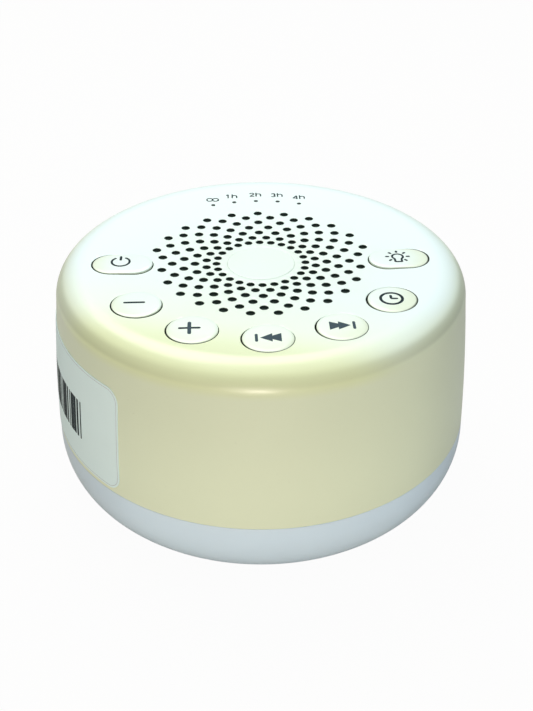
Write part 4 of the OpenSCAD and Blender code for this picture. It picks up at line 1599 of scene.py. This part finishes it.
class SOUND_OT_label(bpy.types.Operator):
    """Sticks the bare paper label with plain bars on the wall"""

    bl_idname = "sound.label"
    bl_label = "Wall label"

    def execute(self, context):
        label = settings().label
        width = (label.front - label.back) * RING_HIGH.x
        height = label.high - label.low
        sheet = rounded_sheet(
            "wall_label", width, height, label.corner, SHEET_COLUMNS, SHEET_ROWS
        )
        on_wall(sheet, GLUE)
        modify(sheet, "SOLIDIFY", thickness=label.paper, offset=1)
        clean(sheet)
        soften(sheet, 50)
        paper = paper_finish("label_paper", tuple(settings().colours.label))
        finish_piece(sheet, "root", paper)
        self.print_line(width, height, label)
        self.print_bars(width, label)
        return {"FINISHED"}

    def print_line(self, width, height, label):
        """The die line just inside the label's edge."""
        route = rounded_route(
            width - 2 * DIE_INSET, height - 2 * DIE_INSET, label.corner - DIE_INSET
        )
        die_line = stroke("label_line", route, DIE_WIDTH, DIE_STEPS, True)
        on_wall(die_line, GLUE + label.paper + PRINT_GAP)
        modify(die_line, "SOLIDIFY", thickness=DIE_INK, offset=1)
        clean(die_line)
        finish_piece(die_line, "root", paper_finish("label_line", tone(176, 184, 184)))

    def print_bars(self, width, label):
        """Plain upright bars of a few widths, all at an even rhythm."""
        bars = []
        start = width * 0.22
        for index in range(BARS):
            thick = (0.5 + 0.35 * (index * 5 % 4)) * MM
            bar = rounded_sheet("bar", thick, BAR_HEIGHT, 0.05 * MM, 2, 12)
            placed(bar, Matrix.Translation((start - index * BAR_STEP, -BAR_DROP, 0)))
            on_wall(bar, GLUE + label.paper + PRINT_GAP)
            modify(bar, "SOLIDIFY", thickness=BAR_INK, offset=1)
            clean(bar)
            bars.append(bar)
        ink = ink_finish("mark_ink", settings().colours.ink)
        finish_piece(joined("label_bars", bars), "root", ink)


# ---- Frame parts that show as they are -------------------------------------------------

class SOUND_OT_inside(bpy.types.Operator):
    """Gives every frame part the finish of its slot"""

    bl_idname = "sound.inside"
    bl_label = "Inner parts"

    def execute(self, context):
        for part in frame["record"]["subparts"]:
            node = frame["nodes"][part["node"]]
            material = material_for(part["material_slot"])
            node.data.materials.clear()
            node.data.materials.append(material)
            for face in node.data.polygons:
                face.material_index = 0
        return {"FINISHED"}


# ---- Stage -----------------------------------------------------------------------------

CAMERA_PLACE = Vector((-9.565, -234.855, 184.780)) * MM
CAMERA_LOOK = Vector((0.03866, 0.83536, -0.54834))
CAMERA_ROLL = math.radians(0.073)

FLOOR_SIZE = 6
# Share of plain white in the floor as the camera sees it.
FLOOR_GLOW = 0.965
LAMP_AIM = Vector((0, 0, 0.03))

# Place, width and height in metres and colour of each lamp; its power is in the settings.
LAMPS = {
    "overhead": ((-0.1, 0.3, 0.6), 0.5, 0.4, tone(255, 255, 255)),
    "middle": ((0, 0, 0.7), 0.5, 0.5, tone(255, 255, 255)),
    "right": ((0.45, 0, 0.5), 0.4, 0.4, tone(189, 225, 255)),
    "front": ((-0.08, -0.6, 0.12), 0.2, 0.2, tone(255, 241, 231)),
    "low": ((-0.06, -0.6, 0.1), 0.9, 0.2, tone(255, 241, 231)),
    "glint": ((-0.03, -0.52, 0.055), 0.09, 0.05, tone(255, 241, 231)),
}


def seen_directly(graph):
    """1 for rays that come straight from the camera."""
    return graph.node("ShaderNodeLightPath", {}, {}, "Is Camera Ray")


class SOUND_OT_stage(bpy.types.Operator):
    """Sets the pale floor, soft lamps and camera"""

    bl_idname = "sound.stage"
    bl_label = "Stage"

    def execute(self, context):
        self.add_floor()
        self.add_room()
        for name in LAMPS:
            self.add_lamp(name, *LAMPS[name])
        self.add_camera(settings().stage)
        return {"FINISHED"}

    def add_floor(self):
        """A pale sheet that the camera sees as almost plain white."""
        deselect()
        bpy.ops.mesh.primitive_plane_add(size=FLOOR_SIZE)
        floor = bpy.context.object
        floor.name = "floor"
        finish = Finish("floor_paper")
        tree = finish.tree
        shade = tuple(settings().colours.floor)
        fibre = finish.noise(2 * MM, 3.0)
        diffuse = finish.node(
            "ShaderNodeBsdfDiffuse", {}, {"Color": finish.shaded(shade, fibre * 0.02)}
        )
        glow = finish.node("ShaderNodeEmission", {}, {"Color": (1, 1, 1), "Strength": 1.0})
        share = seen_directly(finish) * FLOOR_GLOW
        mixed = finish.node("ShaderNodeMixShader", {}, {0: share, 1: diffuse, 2: glow})
        tree.links.new(mixed.socket, finish.surface)
        tree.nodes.remove(finish.shader)
        floor.data.materials.append(finish.material)

    def add_room(self):
        """A white background that lights the pieces only softly."""
        world = bpy.data.worlds.new("room")
        bpy.context.scene.world = world
        world.use_nodes = True
        graph = Graph(world.node_tree)
        graph.tree.nodes.clear()
        ambient = settings().stage.ambient
        soft = graph.node("ShaderNodeBackground", {}, {"Color": (1, 1, 1), "Strength": ambient})
        white = graph.node("ShaderNodeBackground", {}, {"Color": (1, 1, 1), "Strength": 1.0})
        mixed = graph.node("ShaderNodeMixShader", {}, {0: seen_directly(graph), 1: soft, 2: white})
        graph.node("ShaderNodeOutputWorld", {}, {"Surface": mixed})

    def add_lamp(self, name, place, width, height, shade):
        """A soft rectangular lamp that points at the middle of the machine."""
        deselect()
        bpy.ops.object.light_add(type="AREA", location=place)
        lamp = bpy.context.object
        lamp.name = f"lamp_{name}"
        lamp.data.shape = "RECTANGLE"
        lamp.data.size = width
        lamp.data.size_y = height
        lamp.data.energy = getattr(settings().stage, name)
        lamp.data.color = shade
        aim = LAMP_AIM - Vector(place)
        lamp.rotation_euler = aim.to_track_quat("-Z", "Y").to_euler()

    def add_camera(self, stage):
        """The camera, from above the front."""
        deselect()
        bpy.ops.object.camera_add(location=CAMERA_PLACE)
        camera = bpy.context.object
        camera.name = "camera"
        turn = CAMERA_LOOK.to_track_quat("-Z", "Y").to_matrix()
        roll = Matrix.Rotation(CAMERA_ROLL, 3, "Z")
        camera.rotation_euler = (turn @ roll).to_euler()
        camera.data.lens = stage.lens
        camera.data.sensor_width = 36
        camera.data.sensor_fit = "AUTO"
        camera.data.clip_start = 0.01
        bpy.context.scene.camera = camera


# ---- Panel and registration ------------------------------------------------------------

OPERATORS = (
    SOUND_OT_shell, SOUND_OT_disc, SOUND_OT_keys, SOUND_OT_key_marks, SOUND_OT_timer_marks,
    SOUND_OT_dots, SOUND_OT_ring, SOUND_OT_base, SOUND_OT_label, SOUND_OT_inside, SOUND_OT_stage,
)


class SOUND_PT_panel(bpy.types.Panel):
    """Lists the pieces of the sound machine"""

    bl_idname = "SOUND_PT_panel"
    bl_label = "Sound machine"
    bl_space_type = "VIEW_3D"
    bl_region_type = "UI"
    bl_category = "Sound machine"

    def draw(self, context):
        for operator in OPERATORS:
            self.layout.operator(operator.bl_idname)
        for name in SETTINGS:
            group = getattr(settings(), name)
            box = self.layout.box()
            box.label(text=name.title())
            for key in group.bl_rna.properties.keys():
                if key not in ("rna_type", "name"):
                    box.prop(group, key)


CLASSES = (*SETTINGS.values(), SoundMachineSettings, *OPERATORS, SOUND_PT_panel)


def register():
    """Adds the classes and the settings."""
    for item in CLASSES:
        bpy.utils.register_class(item)
    bpy.types.Scene.sound_machine = PointerProperty(type=SoundMachineSettings)


def unregister():
    """Takes the settings and the classes away again."""
    del bpy.types.Scene.sound_machine
    for item in reversed(CLASSES):
        bpy.utils.unregister_class(item)


def main():
    """Builds every piece and the stage."""
    register()
    bpy.context.scene.view_settings.view_transform = "Standard"
    for operator in OPERATORS:
        group, name = operator.bl_idname.split(".")
        getattr(getattr(bpy.ops, group), name)()


if __name__ == "__main__":
    main()
